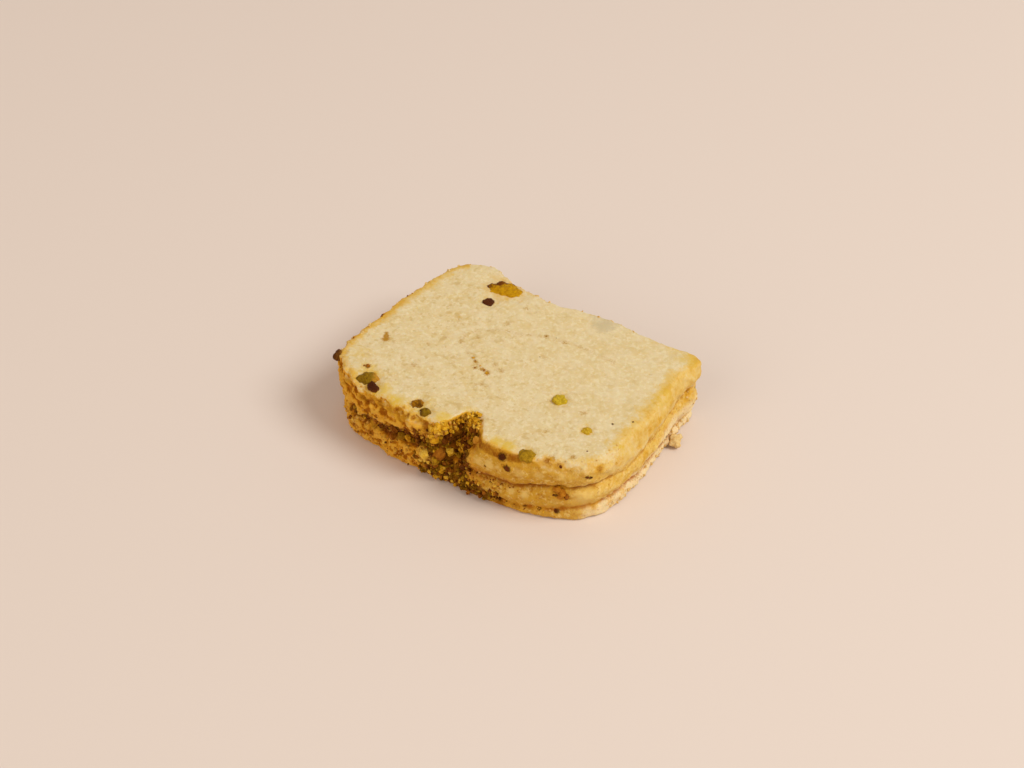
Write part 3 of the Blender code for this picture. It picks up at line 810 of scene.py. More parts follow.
def paintSplit(body, here, wall):
    # The pit of the split, darkened with painted shade, the crumble's stain round it and the golden lip above
    # it
    along, z = here["along"], here["z"]
    crack = np.exp(-((along - 0.8) / 4.4) ** 2) * smoothStep(8, 12, z)
    crack *= smoothStep(20, 18.2, z - np.maximum(along - 1, 0))
    foot = span(along, -18, -8, 8, 22) * smoothStep(8.5, 4.5, z + 0.12 * along)
    flank = span(along, -14, -7, 1, 6) * smoothStep(23, 12, z)
    under = span(along, 0, 3, 10, 26) * span(z, 5, 7, 10, 11.5)
    goldLip = span(along, -12, -7, 1.5, 4.5) * smoothStep(18, 19.6, z) * smoothStep(0.5, 2, here["inside"])
    paint(body, "crackDark", crack * wall)
    paint(body, "crumbleStain", np.maximum(np.maximum(foot, flank * 0.9), under * 0.25) * wall)
    paint(body, "goldLip", goldLip * wall)


def paintCutFace(body, here, top):
    along, z = here["along"], here["z"]
    # yellow mottling: wide by the right-hand side, narrow by the front and at the left
    left = smoothStep(-6, -14, along)
    band = 3.4 + 5.5 * span(along, 28, 64, 92, 108) + 1.5 * left
    band = np.where(along > 108, 3.0, np.where(along < -60, 6.0, band))
    rim = 0.5 + 0.5 * span(along, 30, 66, 104, 114) + 0.3 * left + 0.3 * smoothStep(-56, -70, along)
    rim *= smoothStep(band, 0.2, here["inside"]) * (1 - 0.4 * smoothStep(112, 126, along))
    # nut oil browns the crumb round each larger piece
    halos = []
    for name in nuts:
        lowest, highest = (Vector(corner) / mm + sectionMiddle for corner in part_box(name))
        middle = (lowest + highest) / 2
        halos.append((middle.x, middle.y, 0.62 * max(highest.x - lowest.x, highest.y - lowest.y), 1.1))
    paint(body, "cutFace", top)
    paint(body, "rimGold", top * rim)
    paint(body, "halo", spotSum(here, halos) * smoothStep(17, 20, z))
    paint(body, "tan", top * spotSum(here, marks["tan"]))
    paint(body, "swirl", top * lineSum(here, marks["swirls"], marks["swirlWidth"]))
    paint(body, "grey", spotSum(here, marks["grey"]) * smoothStep(18, 22, z))
    paint(body, "oiled", spotSum(here, marks["oiled"]) * smoothStep(19, 22, z))
    paint(body, "calm", smoothStep(-12, 30, 0.6 * here["x"] + 0.8 * here["y"]))  # the far right is smoother


def paintBody(body, outline):
    here = surveyBody(body, outline)
    along, z = here["along"], here["z"]
    wall = 1 - smoothStep(0.55, 0.85, here["level"])
    paintCutFace(body, here, crumbShare(here))
    paintCreases(body, here)
    paintSplit(body, here, wall)
    # the right-hand foot is paler, and higher up towards the back
    farther = smoothStep(70, 90, along)
    paleFoot = span(along, 36, 50, 104, 114) * smoothStep(9 + 4 * farther, 4 + 4 * farther, z)
    paint(body, "paleFoot", paleFoot * (1 - 0.2 * farther))
    strips = lineSum(here, marks["brownStrips"], marks["brownStripWidth"])
    paint(body, "browned", np.maximum(spotSum(here, marks["browned"]), strips))
    paint(body, "dark", spotSum(here, marks["dark"]))
    paint(body, "palePatch", spotSum(here, marks["pale"]) * wall)
    # how far each point lies in a hollow or on a rise: the material paints shade in the hollows and highlight
    # on the rises
    hollow = hollowness(body, 12, 0.25)
    paint(body, "hollow", hollow)
    paint(body, "raised", -hollow)
    paint(body, "recess", 0.5 + 0.5 * hollowness(body, 60, 0.9))  # wider hollows, with 0.5 for level ground
    print("body painted")


# The cake's colours, as they look in soft light; some are painted shade for creases and hollows and painted
# highlight for ridges

cakeColours = dict(
    crumb=(223, 202, 157), crumbWarm=(217, 192, 138), crumbPale=(231, 214, 173),
    # the colour for pores is painted shade in the crumb's hollows, and also the tone of its freckles
    poreShadeAndFreckle=(200, 169, 108), gold=(220, 180, 90), goldDeep=(206, 154, 50),
    tan=(172, 120, 20), grey=(199, 181, 142), oil=(216, 178, 60),
    wall=(226, 187, 98), wallGold=(217, 166, 62), wallPale=(236, 204, 130),
    footPale=(238, 212, 162), front=(206, 154, 50), frontPale=(229, 191, 106),
    frontDeep=(178, 116, 18), scorch=(144, 78, 2),
    # the toast's lighter and darker colours are painted highlight on the torn crust's ridges and painted
    # shade in its hollows
    toast=(192, 122, 14), toastPaleAndLit=(224, 162, 46), toastDarkAndShaded=(148, 84, 5),
    # crease, groove and hollow colours: painted shade in creases and hollows over the crust's own brown;
    # dark: dark marks and painted shade in the split
    crease=(144, 80, 8), groove=(172, 98, 12), hollowBrownAndShade=(102, 46, 2), dark=(66, 28, 1),
    stain=(118, 68, 5), stainLight=(176, 116, 22), goldLip=(218, 162, 42),
    # the ridge colour is a painted highlight on the torn crust's ridges
    speckle=(168, 96, 16), ridge=(228, 174, 68),
)

# The noise that the colours follow: scale, detail and roughness, and for some a turn
cakeNoise = dict(
    clouds=(0.16, 3, 0.6), patches=(0.45, 3, 0.65), grain=(1.7, 3, 0.6), fine=(4.5, 2, 0.6),
    pits=(0.95, 3, 0.7), speckles=(1.35, 2, 0.6), blotches=(0.75, 3, 0.6, (0.6, 0.4, 0.9)),
    freckles=(0.5, 2, 0.5, (0.9, 0.2, 0.5)), mottle=(0.85, 4, 0.75, (0.3, 0.8, 0.1)),
)

# Marks in the order they lie: mask, how uneven its edge is, where it starts and is full, colour and amount
cakeLayers = dict(
    soaked=[("oiled", 1.3, 0.1, 1.15, "oil", 0.8), ("grey", 0.9, 0.3, 0.9, "grey", 0.8)],
    # paleFoot is the foot's own tone; creaseShade and hollow lay painted shade above the creases and in
    # hollows
    paleFootAndShade=[("paleFoot", 1, 0.2, 0.8, "footPale", 0.9), ("creaseShade", 1.3, 0.4, 1.2, "groove", 0.6),
          ("hollow", 0.6, 0.25, 1.1, "groove", 0.6)],
    # lowCrease and valley lay painted shade, mainCrease a brown line with painted shade; the stain and pale
    # patches are the crust's own
    creased=[("lowCrease", 0.9, 0.3, 1, "groove", 0.7), ("valley", 1.8, 0.3, 1, "hollowBrownAndShade", 0.95),
             ("crumbleStain", 1, 0.25, 0.8, "stained", 0.9), ("palePatch", 0.9, 0.35, 1, "frontPale", 0.9),
             ("mainCrease", 0.9, 0.3, 0.95, "crease", 0.85)],
    # browning and the golden lip, then painted shade in the split's pit
    browned=[("browned", 1, 0.15, 0.7, "goldLip", 0.7), ("browned", 1, 0.5, 1.2, "scorch", 0.92),
             ("goldLip", 1, 0.3, 0.8, "goldLip", 0.9), ("crackDark", 1, 0.3, 0.8, "dark", 0.9)],
)


def cakeMaterial():
    material, shader, shade, place = newMaterial(
        "lemonCrumb", Roughness=0.75, Specular_IOR_Level=0.12, Specular_Tint=(1.0, 0.8, 0.5, 1.0),
        Subsurface_Weight=0.15, Subsurface_Scale=0.0014, Subsurface_Radius=(1.0, 0.6, 0.25))
    waves = {}
    for name, (scale, detail, rough, *turn) in cakeNoise.items():
        coordinates = shade.scaled(place, (1, 1, 1), turn[0]) if turn else place
        waves[name] = shade.noise(coordinates, scale, detail, rough)
    clouds, patches, blotches, grain, fine, pits = (
        waves[name] for name in ("clouds", "patches", "blotches", "grain", "fine", "pits"))
    hollow = shade.attribute("hollow")
    raised = shade.attribute("raised")
    uneven = (patches - 0.5) + (grain - 0.5) * 0.6
    c = {name: srgb(*values) for name, values in cakeColours.items()}
    c["stained"] = shade.mixed(c["stain"], c["stainLight"], (blotches * 0.5 + grain * 0.5).between(0.5, 0.66))

    def lay(base, layers):
        for mask, rough, low, high, colour, amount in layers:
            share = (shade.attribute(mask) + uneven * rough).between(low, high)
            base = base.toward(c[colour], share * amount)
        return base

    # cut face
    crumb = shade.mixed(c["crumb"], c["crumbWarm"], (clouds * 0.6 + patches * 0.4).between(0.36, 0.62))
    crumb = crumb.toward(c["crumbPale"], blotches.between(0.46, 0.68) * 0.7)
    # painted shade in the crumb's hollows
    crumb = crumb.toward(c["poreShadeAndFreckle"], (hollow * 0.7 + grain.between(0.6, 0.8) * 0.3).between(0.15, 1.1) * 0.7)
    # soft freckles of two sizes, more in some parts than in others
    busy = 1.0 - shade.attribute("calm") * 0.65
    drift = (clouds - 0.5) * 0.3
    crumb = crumb.toward(c["poreShadeAndFreckle"], (waves["freckles"] + drift).between(0.57, 0.72) * busy * 0.65)
    crumb = crumb.toward(c["poreShadeAndFreckle"], pits.between(0.56, 0.72) * busy * 0.5)
    crumb = crumb.toward(c["tan"], (pits - 0.04 + drift).between(0.65, 0.75) * busy * 0.42)
    # painted highlight on the raised crumb
    ridges = raised * 0.6 + fine.between(0.5, 0.8) * 0.2
    crumb = crumb.toward(c["crumbPale"], ridges.between(0.15, 0.9) * 0.4)
    gold = shade.attribute("rimGold") + uneven * 1.1 + (clouds - 0.5) * 1.1
    crumb = crumb.toward(c["gold"], gold.between(0.2, 0.85) * 0.85)
    crumb = crumb.toward(c["goldDeep"], (gold + (blotches - 0.5) * 0.8).between(0.75, 1.2) * 0.7)
    crumb = crumb.toward(c["goldLip"], (gold * shade.attribute("toasted")).between(0.4, 1.1) * 0.5)
    crumb = lay(crumb, cakeLayers["soaked"])
    crumb = crumb.toward(c["tan"], (shade.attribute("tan") + (grain - 0.5) * 1.3).between(0.2, 1.0) * 0.95)
    crumb = crumb.toward(c["goldLip"], (shade.attribute("halo") + uneven * 1.2).between(0.3, 1.2) * 0.5)
    broken = (patches * 0.6 + blotches * 0.4).between(0.46, 0.6)
    swirl = shade.attribute("swirl") + (grain - 0.5) * 1.8
    crumb = crumb.toward(c["tan"], swirl.between(0.35, 1.2) * (broken * 0.6 + 0.25) * 0.8)
    # crust on the walls
    recess = shade.attribute("recess")
    wall = shade.mixed(c["wall"], c["wallGold"], (patches * 0.5 + blotches * 0.5).between(0.42, 0.6))
    # pale blotches, with a little painted highlight on raised points
    wall = wall.toward(c["wallPale"], (blotches + raised * 0.15).between(0.54, 0.7) * 0.7)
    front = shade.mixed(c["front"], c["frontPale"], (blotches * 0.6 + patches * 0.4).between(0.48, 0.62))
    front = front.toward(c["frontDeep"], (patches + (grain - 0.5) * 0.5).between(0.52, 0.7) * 0.8)
    wall = shade.mixed(wall, front, (shade.attribute("frontCrust") + uneven * 0.5).between(0.05, 0.95))
    # the torn crust on the left: its own mottled brown, with painted highlight on its ridges and painted
    # shade in its hollows
    shadeAndMottle = recess + hollow * 0.2 - raised * 0.3 + (waves["mottle"] - 0.5) * 0.7 + (patches - 0.5) * 0.6
    toast = shade.mixed(c["toastPaleAndLit"], c["toast"], shadeAndMottle.between(0.15, 0.5))
    toast = toast.toward(c["ridge"], (0.5 - shadeAndMottle).between(0.25, 0.7) * 0.55)
    toast = toast.toward(c["toastDarkAndShaded"], shadeAndMottle.between(0.38, 0.85) * 0.9)
    toast = toast.toward(c["hollowBrownAndShade"], shadeAndMottle.between(0.8, 1.2) * 0.8)
    wall = shade.mixed(wall, toast, (shade.attribute("toasted") + uneven * 0.5).between(0.1, 0.9))
    # the pale foot, then painted shade above the creases and in the hollows
    wall = lay(wall, cakeLayers["paleFootAndShade"])
    wall = wall.toward(c["speckle"], waves["speckles"].between(0.58, 0.72) * 0.5)
    # painted shade in the creases and valley, with the crumble's stain and pale patches
    wall = lay(wall, cakeLayers["creased"])
    colour = shade.mixed(wall, crumb, (shade.attribute("cutFace") + uneven * 0.8).between(0.1, 0.9))
    # browning, and painted shade in the split's pit
    colour = lay(colour, cakeLayers["browned"])
    darkened = (shade.attribute("dark") + (grain - 0.5) * 0.9).between(0.4, 0.95)
    colour = colour.toward(c["dark"], darkened * 0.85)
    coarse = 1.0 - shade.attribute("cutFace") * 0.6
    surface = shade.bump((fine * 0.5 + grain) * coarse, 0.00028, 0.7)
    feed(shader, Base_Color=colour, Normal=surface)
    return material


# Chopped pistachio and loose crumbs: a few chopped shapes, copied with their own meshes and joined

chopped = dict(
    depth=(0.75, 0.95), height=(0.65, 0.9), uneven=0.1, cutPlace=(0.25, 0.38), smoothAngle=42,
    # pieces under this size are stretched more than the others; the scale is that of the stretch's noise
    smallBelow=2, smallStretch=0.35, largeStretch=0.12, stretchScale=9000,
    # a lump of crumbs: its middle, how many lie on it, how far out, and their size
    clusterMiddle=0.8, clusterNumber=14, clusterReach=0.34, clusterSize=(0.16, 0.42),
    # how high a piece's middle stays above the floor, as a share of its size
    above=0.56,
)


def choppedShape(name, seed, cuts):
    # A lump with flat chopped sides, about one unit across
    draw = random.Random(seed)
    deselectAll()
    bpy.ops.mesh.primitive_ico_sphere_add(subdivisions=2, radius=0.5)
    shape = bpy.context.object
    shape.name = name
    bpy.ops.object.mode_set(mode="EDIT")
    bpy.ops.transform.resize(value=(1.0, draw.uniform(*chopped["depth"]), draw.uniform(*chopped["height"])))
    bpy.ops.transform.vertex_random(offset=chopped["uneven"], uniform=0.3, normal=0.7, seed=seed)
    for k in range(cuts):
        bpy.ops.mesh.select_all(action="SELECT")
        toward = Vector([draw.uniform(-1, 1) for axis in range(3)]).normalized()
        bpy.ops.mesh.bisect(plane_co=toward * draw.uniform(*chopped["cutPlace"]), plane_no=toward,
                            use_fill=True, clear_outer=True)
    bpy.ops.mesh.select_all(action="SELECT")
    bpy.ops.mesh.normals_make_consistent(inside=False)
    bpy.ops.object.mode_set(mode="OBJECT")
    bpy.ops.object.shade_smooth_by_angle(angle=math.radians(chopped["smoothAngle"]))
    return shape


def stretchAt(centre, size):
    # The place alone decides how far a piece is stretched each way
    most = chopped["smallStretch"] if size < chopped["smallBelow"] else chopped["largeStretch"]
    spot = centre * chopped["stretchScale"]
    waves = [noise.noise(spot + Vector((17 * axis, 0, 0))) for axis in range(3)]
    return Vector([1 + most * min(1.0, max(-1.0, 2 * height)) for height in waves])


def placeCopy(shape, centre, size, turn, tone):
    copy = bpy.data.objects.new(shape.name, shape.data.copy())
    copy.matrix_world = Matrix.LocRotScale(centre, turn, stretchAt(centre, size) * (size * mm))
    bpy.context.scene.collection.objects.link(copy)
    paint(copy, "tint", np.full(len(copy.data.vertices), tone))
    return copy


class Scatter:
    # Collects the copies of each kind until they are joined
    def __init__(self, body, outline):
        self.outline = outline
        self.surface = BVHTree.FromObject(body, bpy.context.evaluated_depsgraph_get())
        self.kinds = {}
        self.shapes = {kind: [choppedShape(kind + "Shape", seed, cuts) for seed in seeds]
                       for kind, (seeds, cuts, slot) in scatterKinds.items()}

    def columnAt(self, distance):
        return min(self.outline, key=lambda entry: abs(entry[2] - distance))

    def add(self, draw, kind, place, size, proud=None, tone=None):
        # A piece that is given how proud it stands settles on the cake; others stay where they are put
        shape = draw.choice(self.shapes[kind])
        centre = fromSection(*place)
        if proud is not None:
            found, normal, index, away = self.surface.find_nearest(centre)
            centre = found + normal * size * proud * mm
        turn = Euler([draw.uniform(0, 6.28) for axis in range(3)]).to_quaternion()
        centre.z = max(centre.z, size * chopped["above"] * mm)
        drawn = draw.random()
        copy = placeCopy(shape, centre, size, turn, drawn if tone is None else tone)
        self.kinds.setdefault(kind, []).append(copy)

    def addCluster(self, draw, kind, place, size):
        # A lump of crumbs that have stuck together: one in the middle and smaller ones all over it
        self.add(draw, kind, place, size * chopped["clusterMiddle"])
        for k in range(chopped["clusterNumber"]):
            side = Vector([draw.gauss(0, 1) for axis in range(3)]).normalized()
            spot = place + side * size * chopped["clusterReach"]
            self.add(draw, kind, spot, size * draw.uniform(*chopped["clusterSize"]))

    def finish(self, materials):
        for kind, copies in self.kinds.items():
            piece = joinAll(copies, kind)
            keepAboveFloor(piece)
            dress(piece, materials[kind])
            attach(piece, "root")
            print(kind, len(copies), "pieces,", len(piece.data.polygons), "faces")
        for shapes in self.shapes.values():
            for shape in shapes:
                bpy.data.objects.remove(shape, do_unlink=True)


# Each kind's seeds, number of chopped sides and slot
scatterKinds = dict(
    pistachioGold=((11, 12, 13, 14), 2, "pistachio_gold"),
    pistachioGreen=((21, 22, 23, 24), 2, "pistachio_green"),
    pistachioBrown=((31, 32, 33, 34), 2, "pistachio_skin"), cakeGrains=((41, 42, 43), 0, "lemon_crumb"),
    darkSpecks=((51, 52), 1, "pistachio_skin"), crustFlakes=((61, 62, 63), 2, "lemon_crumb"),
)

crumble = dict(
    fusedSeed=41, fineSeed=57, goldAbove=18.6, goldBefore=1.5, brownAbove=12.5,
    # lowest and highest distance from the split, lowest and highest height, number, largest, smallest, proud;
    # with both heights 0 the pieces lie along the main crease
    fused=[(-8, 5, 16.5, 22.6, 17, 4.4, 2.4, 0.24), (-8.5, 2.5, 5, 16, 14, 3.8, 2.2, 0.16),
           (-16, -7, 5, 19.5, 10, 3.2, 2, 0.1), (-14, 13, 1.2, 5.5, 17, 3, 1.9, 0.12),
           (-46, -15, 0, 0, 12, 2.9, 1.9, 0.12)],
    # the same, and the share of each of the four kinds
    fineKinds=("pistachioGold", "pistachioGreen", "pistachioBrown", "crustFlakes"),
    fine=[(-9, -1, 18.2, 23.2, 260, 1.6, 0.4, 0.4, (0.52, 0.18, 0.08, 0.22)),
          (-3, 1.5, 18.8, 23.4, 240, 1.5, 0.4, 0.35, (0.54, 0.2, 0.04, 0.22)),
          (1.5, 4.2, 21.4, 23.4, 60, 1.3, 0.4, 0.3, (0.45, 0.22, 0.08, 0.25)),
          (-3, 4, 11, 18.6, 90, 2, 0.8, 0.05, (0, 0.12, 0.88, 0)),
          (-9.5, 5, 6, 14, 100, 2, 0.7, 0.15, (0.05, 0.25, 0.7, 0)),
          (-9.5, 6, 1, 7, 100, 1.8, 0.6, 0.2, (0.1, 0.4, 0.45, 0.05)),
          (-16, -8, 6, 20, 70, 2, 0.7, 0.1, (0.25, 0.1, 0.45, 0.2)),
          (-15, 15, 0.8, 6.5, 170, 1.6, 0.5, 0.2, (0.06, 0.38, 0.5, 0.06)),
          (3, 16, 5.5, 9.5, 24, 1.8, 0.8, 0, (0.1, 0, 0, 0.9)),
          (-46, -10, 0, 0, 80, 2, 0.6, 0.05, (0.05, 0.12, 0.63, 0.2)),
          (-50, -12, 0.8, 8, 150, 1.5, 0.5, -0.1, (0.15, 0, 0.1, 0.75)),
          (-62, -8, 11, 22.8, 90, 1.4, 0.5, -0.1, (0.05, 0, 0.1, 0.85)),
          (-112, -62, 22.4, 24, 30, 1.5, 0.5, -0.15, (0.1, 0, 0.15, 0.75)),
          (3, 24, 8.8, 10.6, 30, 1.1, 0.5, 0, (0.2, 0, 0.3, 0.5)),
          (14, 33, 1.6, 3.8, 18, 1, 0.5, -0.05, (0.3, 0, 0.1, 0.6))],
    # single pieces: x, y, z, size, kind and, for some, a tone from 0 for dark to 1 for light
    single=[(-10, -31.6, 17.6, 4.2, "pistachioGold"), (-7.7, -28.9, 15.6, 4.2, "pistachioBrown"),
            (-5.4, -28.4, 11.2, 3.4, "pistachioGold"), (-9.4, -31, 22, 3.4, "pistachioGold"),
            (-7.4, -29.8, 22.3, 3.9, "pistachioGold"), (-11.2, -31.5, 21.2, 3, "pistachioGold"),
            (-9.4, -30.9, 10.4, 4.8, "pistachioBrown", 0.9), (-2.8, -24.6, 18.4, 3.4, "pistachioGreen"),
            (3.4, -27.6, 20.6, 3.4, "crustFlakes"), (-21.3, -30, 10.9, 3.2, "pistachioGold"),
            (-27.6, -30, 11.6, 3.4, "pistachioBrown"), (-27.4, -30.6, 8.6, 3, "pistachioBrown"),
            (-24.6, -29.7, 10.3, 3.8, "pistachioGreen"), (-14.9, -31.6, 9.2, 4.4, "pistachioGold"),
            (30.8, -24.8, 12.6, 3.2, "crustFlakes", 0.1), (32.2, -24, 11.2, 3.4, "crustFlakes", 0),
            (33.4, -23.2, 10.6, 2.2, "pistachioBrown", 0.8), (29.9, -25.2, 10.4, 1.3, "darkSpecks"),
            (31.4, -24.6, 13.4, 1.8, "pistachioGold", 0.1), (31.6, -24.2, 9.8, 2.2, "crustFlakes", 0.2),
            (30.4, -24.6, 3.1, 1.9, "darkSpecks"), (38.9, -20.6, 19, 1.1, "darkSpecks"),
            (39.7, -19.6, 18.3, 0.9, "darkSpecks"), (14.5, -30.4, 21.5, 2.6, "darkSpecks"),
            (16.8, -31, 18.6, 2.2, "darkSpecks"), (9, -31.5, 16, 1, "darkSpecks"),
            (-18.4, 0.4, 24, 0.8, "pistachioGold", 0.3), (-17, -0.5, 24, 0.6, "pistachioBrown", 0.9),
            (-14.2, -1.6, 24, 0.6, "pistachioGold", 0.2), (-12, -2.6, 24, 0.8, "pistachioBrown", 0.8),
            (-10.6, -3.3, 24, 1, "pistachioGold", 0.1), (31.6, -24, 22, 1.2, "darkSpecks"),
            (-43.6, -21.9, 24, 1.5, "pistachioBrown"), (-44.6, -22.6, 24, 1, "pistachioBrown"),
            (-15.1, -3.3, 24.1, 0.7, "darkSpecks"),
            (-5.6, 23, 24.1, 0.6, "darkSpecks"), (-2.4, 24, 24.1, 0.5, "darkSpecks"),
            (-1.2, 13, 24.1, 0.4, "darkSpecks"), (35.4, -15.7, 24, 0.6, "darkSpecks"),
            (35, -0.8, 24, 0.7, "darkSpecks"), (39.7, 3.4, 24, 0.9, "darkSpecks")],
    # grains of cake on the edges: lowest and highest distance, heights, number, largest, smallest
    edges=[(50, 102, 0.6, 6, 110, 1.2, 0.4), (96, 118, 1, 23.5, 40, 1.1, 0.4),
           (118, 225, 21, 24, 70, 1.5, 0.5), (-124, -58, 20, 24, 60, 2.4, 0.7),
           (24, 60, 23.2, 24, 20, 0.8, 0.4), (118, 225, 1, 20, 110, 1.1, 0.4)],
)

footCrumb = dict(
    # the lumpy crumb of cake at the foot of the right-hand side: x, y, z and width of each lump
    lumps=[(43.2, 25, 2.1, 3.8), (44.5, 24.2, 1.7, 2.4), (42.6, 26.4, 1.9, 2.6), (43.9, 26.3, 2.5, 2.4),
           (43, 23.6, 1.8, 2.4), (44.4, 25.4, 2.7, 2), (42.4, 25, 2.9, 2.4)],
    voxel=0.28, rough=[("crumbLumps", 1.7, 1.1), ("crumbGrain", 0.8, 0.4)], tone=0.85,
)


def buildFootCrumb(material):
    lumps = []
    for x, y, z, width in footCrumb["lumps"]:
        deselectAll()
        bpy.ops.mesh.primitive_ico_sphere_add(
            subdivisions=3, radius=width / 2 * mm, location=fromSection(x, y, z))
        lumps.append(bpy.context.object)
    crumb = joinAll(lumps, "footCrumb")
    remeshEvenly(crumb, footCrumb["voxel"])
    for name, size, strength in footCrumb["rough"]:
        displace(crumb, name, "CLOUDS", size, strength, noise_depth=1)
    applyModifiers(crumb)
    crumb.data.shade_smooth()
    paint(crumb, "tint", np.full(len(crumb.data.vertices), footCrumb["tone"]))
    dress(crumb, material)
    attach(crumb, "root")
    print("crumb at the foot made")


def kindOfCluster(distance, height, k):
    # Gold in the upper split, brown below it, and mostly green at the foot
    if height > crumble["goldAbove"] and distance < crumble["goldBefore"]:
        return "pistachioGold"
    if height > crumble["brownAbove"]:
        return "pistachioBrown" if k % 3 else "pistachioGreen"
    return ("pistachioGreen", "pistachioGold", "pistachioGreen", "pistachioBrown")[k % 4]


def addFused(scatter, draw):
    for low, high, bottom, top, number, largest, smallest, proud in crumble["fused"]:
        for k in range(number):
            size = largest + (smallest - largest) * (k / number) ** 0.8
            distance = draw.uniform(low, high)
            height = draw.uniform(bottom, top)
            if top == 0:
                height = alongPath(slab["mainCrease"], distance) + draw.uniform(-2.0, 1.6)
            entry = scatter.columnAt(distance)
            place = wallPoint(entry, height) + entry[1].to_3d() * size * proud
            kind = kindOfCluster(distance, height, k)
            own = random.Random(1000 + len(scatter.kinds.get(kind, ())) * 7 + k)
            scatter.addCluster(own, kind, place, size)


def addFine(scatter, draw):
    for low, high, bottom, top, number, largest, smallest, proud, shares in crumble["fine"]:
        for k in range(number):
            size = smallest + (largest - smallest) * draw.random() ** 2
            distance = draw.uniform(low, high)
            height = draw.uniform(bottom, top)
            if top == 0:
                height = alongPath(slab["mainCrease"], distance) + draw.gauss(0, 1.3)
            entry = scatter.columnAt(distance)
            kind = draw.choices(crumble["fineKinds"], weights=shares)[0]
            scatter.add(draw, kind, wallPoint(entry, height), size, proud * draw.uniform(0.2, 1.8))


def addGrains(scatter, draw):
    for low, high, bottom, top, number, largest, smallest in crumble["edges"]:
        for k in range(number):
            size = smallest + (largest - smallest) * draw.random() ** 2
            entry = scatter.columnAt(draw.uniform(low, high))
            proud = 0.05 if size < 1.2 else -0.25
            scatter.add(draw, "cakeGrains", wallPoint(entry, draw.uniform(bottom, top)), size, proud)


def buildScatter(body, outline, materials):
    scatter = Scatter(body, outline)
    addFused(scatter, random.Random(crumble["fusedSeed"]))
    draw = random.Random(crumble["fineSeed"])
    addFine(scatter, draw)
    for x, y, z, size, kind, *tone in crumble["single"]:
        proud = -0.2 if kind == "darkSpecks" else 0.05
        scatter.add(draw, kind, (x, y, z), size, proud, *tone)
    addGrains(scatter, draw)
    scatter.finish(materials)


# Each kind's deep, middle and light colour
scatterColours = dict(
    pistachioGold=((184, 120, 8), (224, 168, 34), (242, 200, 88)),
    pistachioGreen=((100, 62, 3), (144, 98, 8), (192, 144, 26)),
    pistachioBrown=((76, 34, 3), (122, 64, 8), (178, 108, 24)),
    crustFlakes=((172, 104, 18), (204, 138, 38), (232, 178, 84)),
    cakeGrains=((222, 170, 84), (230, 190, 116), (234, 206, 148)),
    darkSpecks=((62, 24, 4), (88, 38, 8), (124, 60, 16)),
)


def chipMaterial(name, deep, middle, light):
    # Chopped nut or crumb: each piece has its own tone, with a paler or darker side
    material, shader, shade, place = newMaterial(name, Roughness=0.5, Specular_IOR_Level=0.14,
                                                 Specular_Tint=(1.0, 0.8, 0.45, 1.0))
    mottled = shade.attribute("tint") * 0.55 + shade.noise(place, 0.9, 3, 0.65) * 0.9 - 0.22
    colour = mottled.ramp((0.12, srgb(*deep)), (0.5, srgb(*middle)), (0.88, srgb(*light)))
    surface = shade.bump(shade.noise(place, 2.6, 2, 0.6), 0.0005, 0.8)
    feed(shader, Base_Color=colour, Normal=surface)
    return material


# The larger pistachio pieces, each from its own solid

nuts = dict(
    # end of the slot's name, flesh light and deep, skin, the side it lies on and how much it covers
    nut_kernel_green=("green", (208, 154, 8), (180, 124, 4), (110, 54, 6), (-0.75, 0.65, 0.1), 0.14),
    nut_kernel_skin=("skin", (122, 68, 32), (96, 48, 22), (84, 38, 16), (0, 0, 1), 0.5),
    nut_round_green=("green", (218, 184, 46), (186, 152, 32), (150, 118, 14), (0.3, 0.3, -0.5), 0.2),
    nut_block_green=("green", (212, 172, 50), (188, 144, 20), (150, 104, 10), (0, 0, -1), 0.2),
    nut_left_green=("green", (152, 114, 12), (118, 84, 4), (200, 140, 42), (0.84, 0.54, 0), 0.2),
    nut_left_skin=("skin", (114, 58, 16), (88, 38, 8), (72, 28, 6), (0, 0, 1), 0.4),
    nut_front_gold=("gold", (184, 126, 14), (152, 96, 6), (108, 66, 8), (0.8, -0.5, 0), 0.36),
    nut_front_green=("green", (148, 112, 12), (112, 78, 6), (84, 52, 6), (-0.8, -0.3, 0), 0.36),
    nut_rim_olive=("green", (184, 140, 26), (146, 108, 12), (98, 72, 8), (-0.3, 1, 0.1), 0.18),
    nut_shoulder_skin=("skin", (150, 98, 30), (116, 70, 12), (90, 46, 6), (-0.5, -0.5, 0.5), 0.4),
)


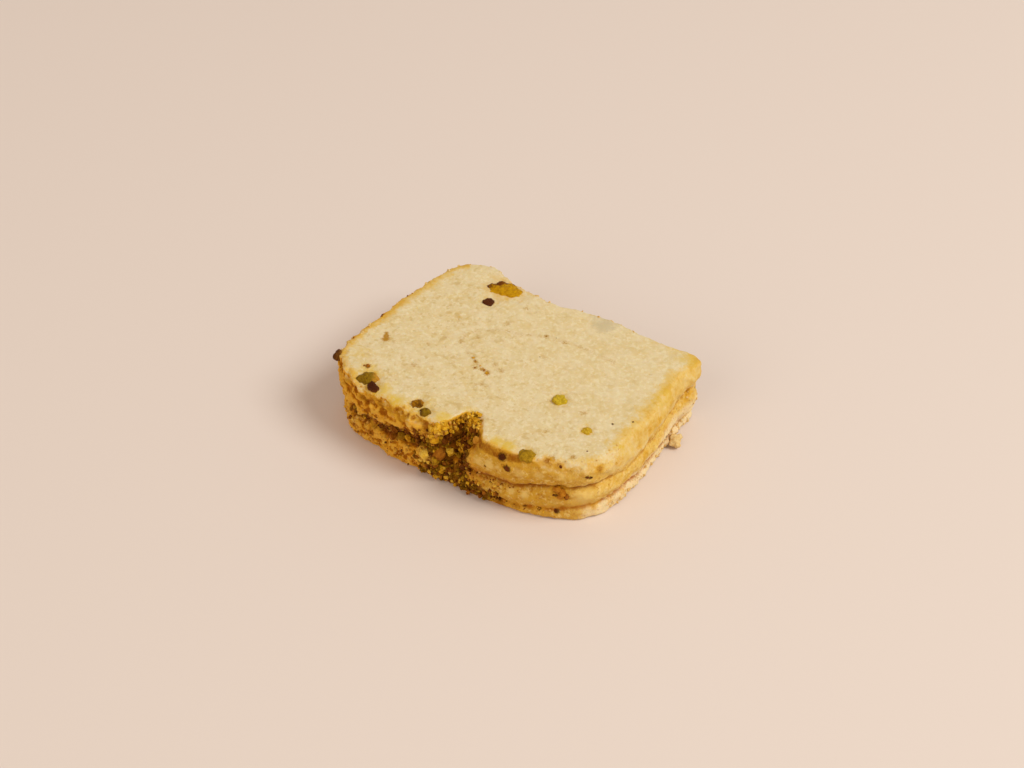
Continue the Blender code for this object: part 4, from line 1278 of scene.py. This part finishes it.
def nutMaterial(name, flesh, deep, skin, skinSide, skinShare, middle):
    material, shader, shade, place = newMaterial(name, Roughness=0.5, Specular_IOR_Level=0.16,
                                                 Specular_Tint=(1.0, 0.8, 0.45, 1.0))
    mottling = shade.noise(place, 0.95, 3, 0.65)
    fine = shade.noise(place, 2.6, 2, 0.6)
    # the side that keeps its skin: how far a point lies towards it from the nut's middle
    side = Vector(skinSide).normalized()
    offset = shade.node("ShaderNodeVectorMath", {"operation": "SUBTRACT"}, {0: place, 1: tuple(middle / mm)})
    reach = shade.node("ShaderNodeVectorMath", {"operation": "DOT_PRODUCT"}, {0: offset, 1: tuple(side)}, 1)
    skinned = (reach + (mottling - 0.5) * 4.0).between(1.8 - 5.0 * skinShare, 3.6 - 5.0 * skinShare)
    colour = shade.mixed(srgb(*flesh), srgb(*deep), (mottling * 0.6 + fine * 0.4).between(0.36, 0.64))
    colour = colour.toward(srgb(*skin), skinned)
    surface = shade.bump(fine + mottling, 0.0005, 0.8)
    feed(shader, Base_Color=colour, Normal=surface)
    return material


def fillBox(piece, lowest, highest):
    # Smoothing shrinks a nut, so it is stretched back to its solid's own width, depth and height
    places = vectorsOf(piece)
    low, high = places.min(0), places.max(0)
    share = (places - low) / (high - low)
    setCoordinates(piece, np.array(lowest) + share * np.array(highest - lowest))


def buildNuts():
    for name, (slot, flesh, deep, skin, skinSide, skinShare) in nuts.items():
        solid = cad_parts[name]
        piece = bpy.data.objects.new(name.replace("nut_", "nutPiece_"), solid.data.copy())
        bpy.context.scene.collection.objects.link(piece)
        makeActive(piece)
        mendMesh(0.005)
        smooth = piece.modifiers.new("smooth", "SUBSURF")
        smooth.levels = 2
        smooth.render_levels = 2
        displace(piece, name + "Lumps", "CLOUDS", 1.7, 1.6, middle=0.34, noise_depth=1)
        displace(piece, name + "Grain", "CLOUDS", 0.7, 0.45, noise_depth=1)
        applyModifiers(piece)
        piece.data.shade_smooth()
        lowest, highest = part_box(name)
        fillBox(piece, lowest, highest)
        middle = (lowest + highest) / 2
        dress(piece, nutMaterial(name.replace("nut_", ""), flesh, deep, skin, skinSide, skinShare, middle))
        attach(piece, "root")
        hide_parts(name)
    print("nuts finished:", len(nuts))


buildStage()
print("stage set")
sectionRing = sectionOutline(slab["columns"])
cakeBody = buildSlab(sectionRing)
roughenBody(cakeBody, sectionRing)
paintBody(cakeBody, sectionRing)
dress(cakeBody, cakeMaterial())
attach(cakeBody, "root")
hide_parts("cake_slice")
looseMaterials = {kind: chipMaterial(kind, *colours) for kind, colours in scatterColours.items()}
buildScatter(cakeBody, sectionRing, looseMaterials)
buildFootCrumb(looseMaterials["cakeGrains"])
buildNuts()
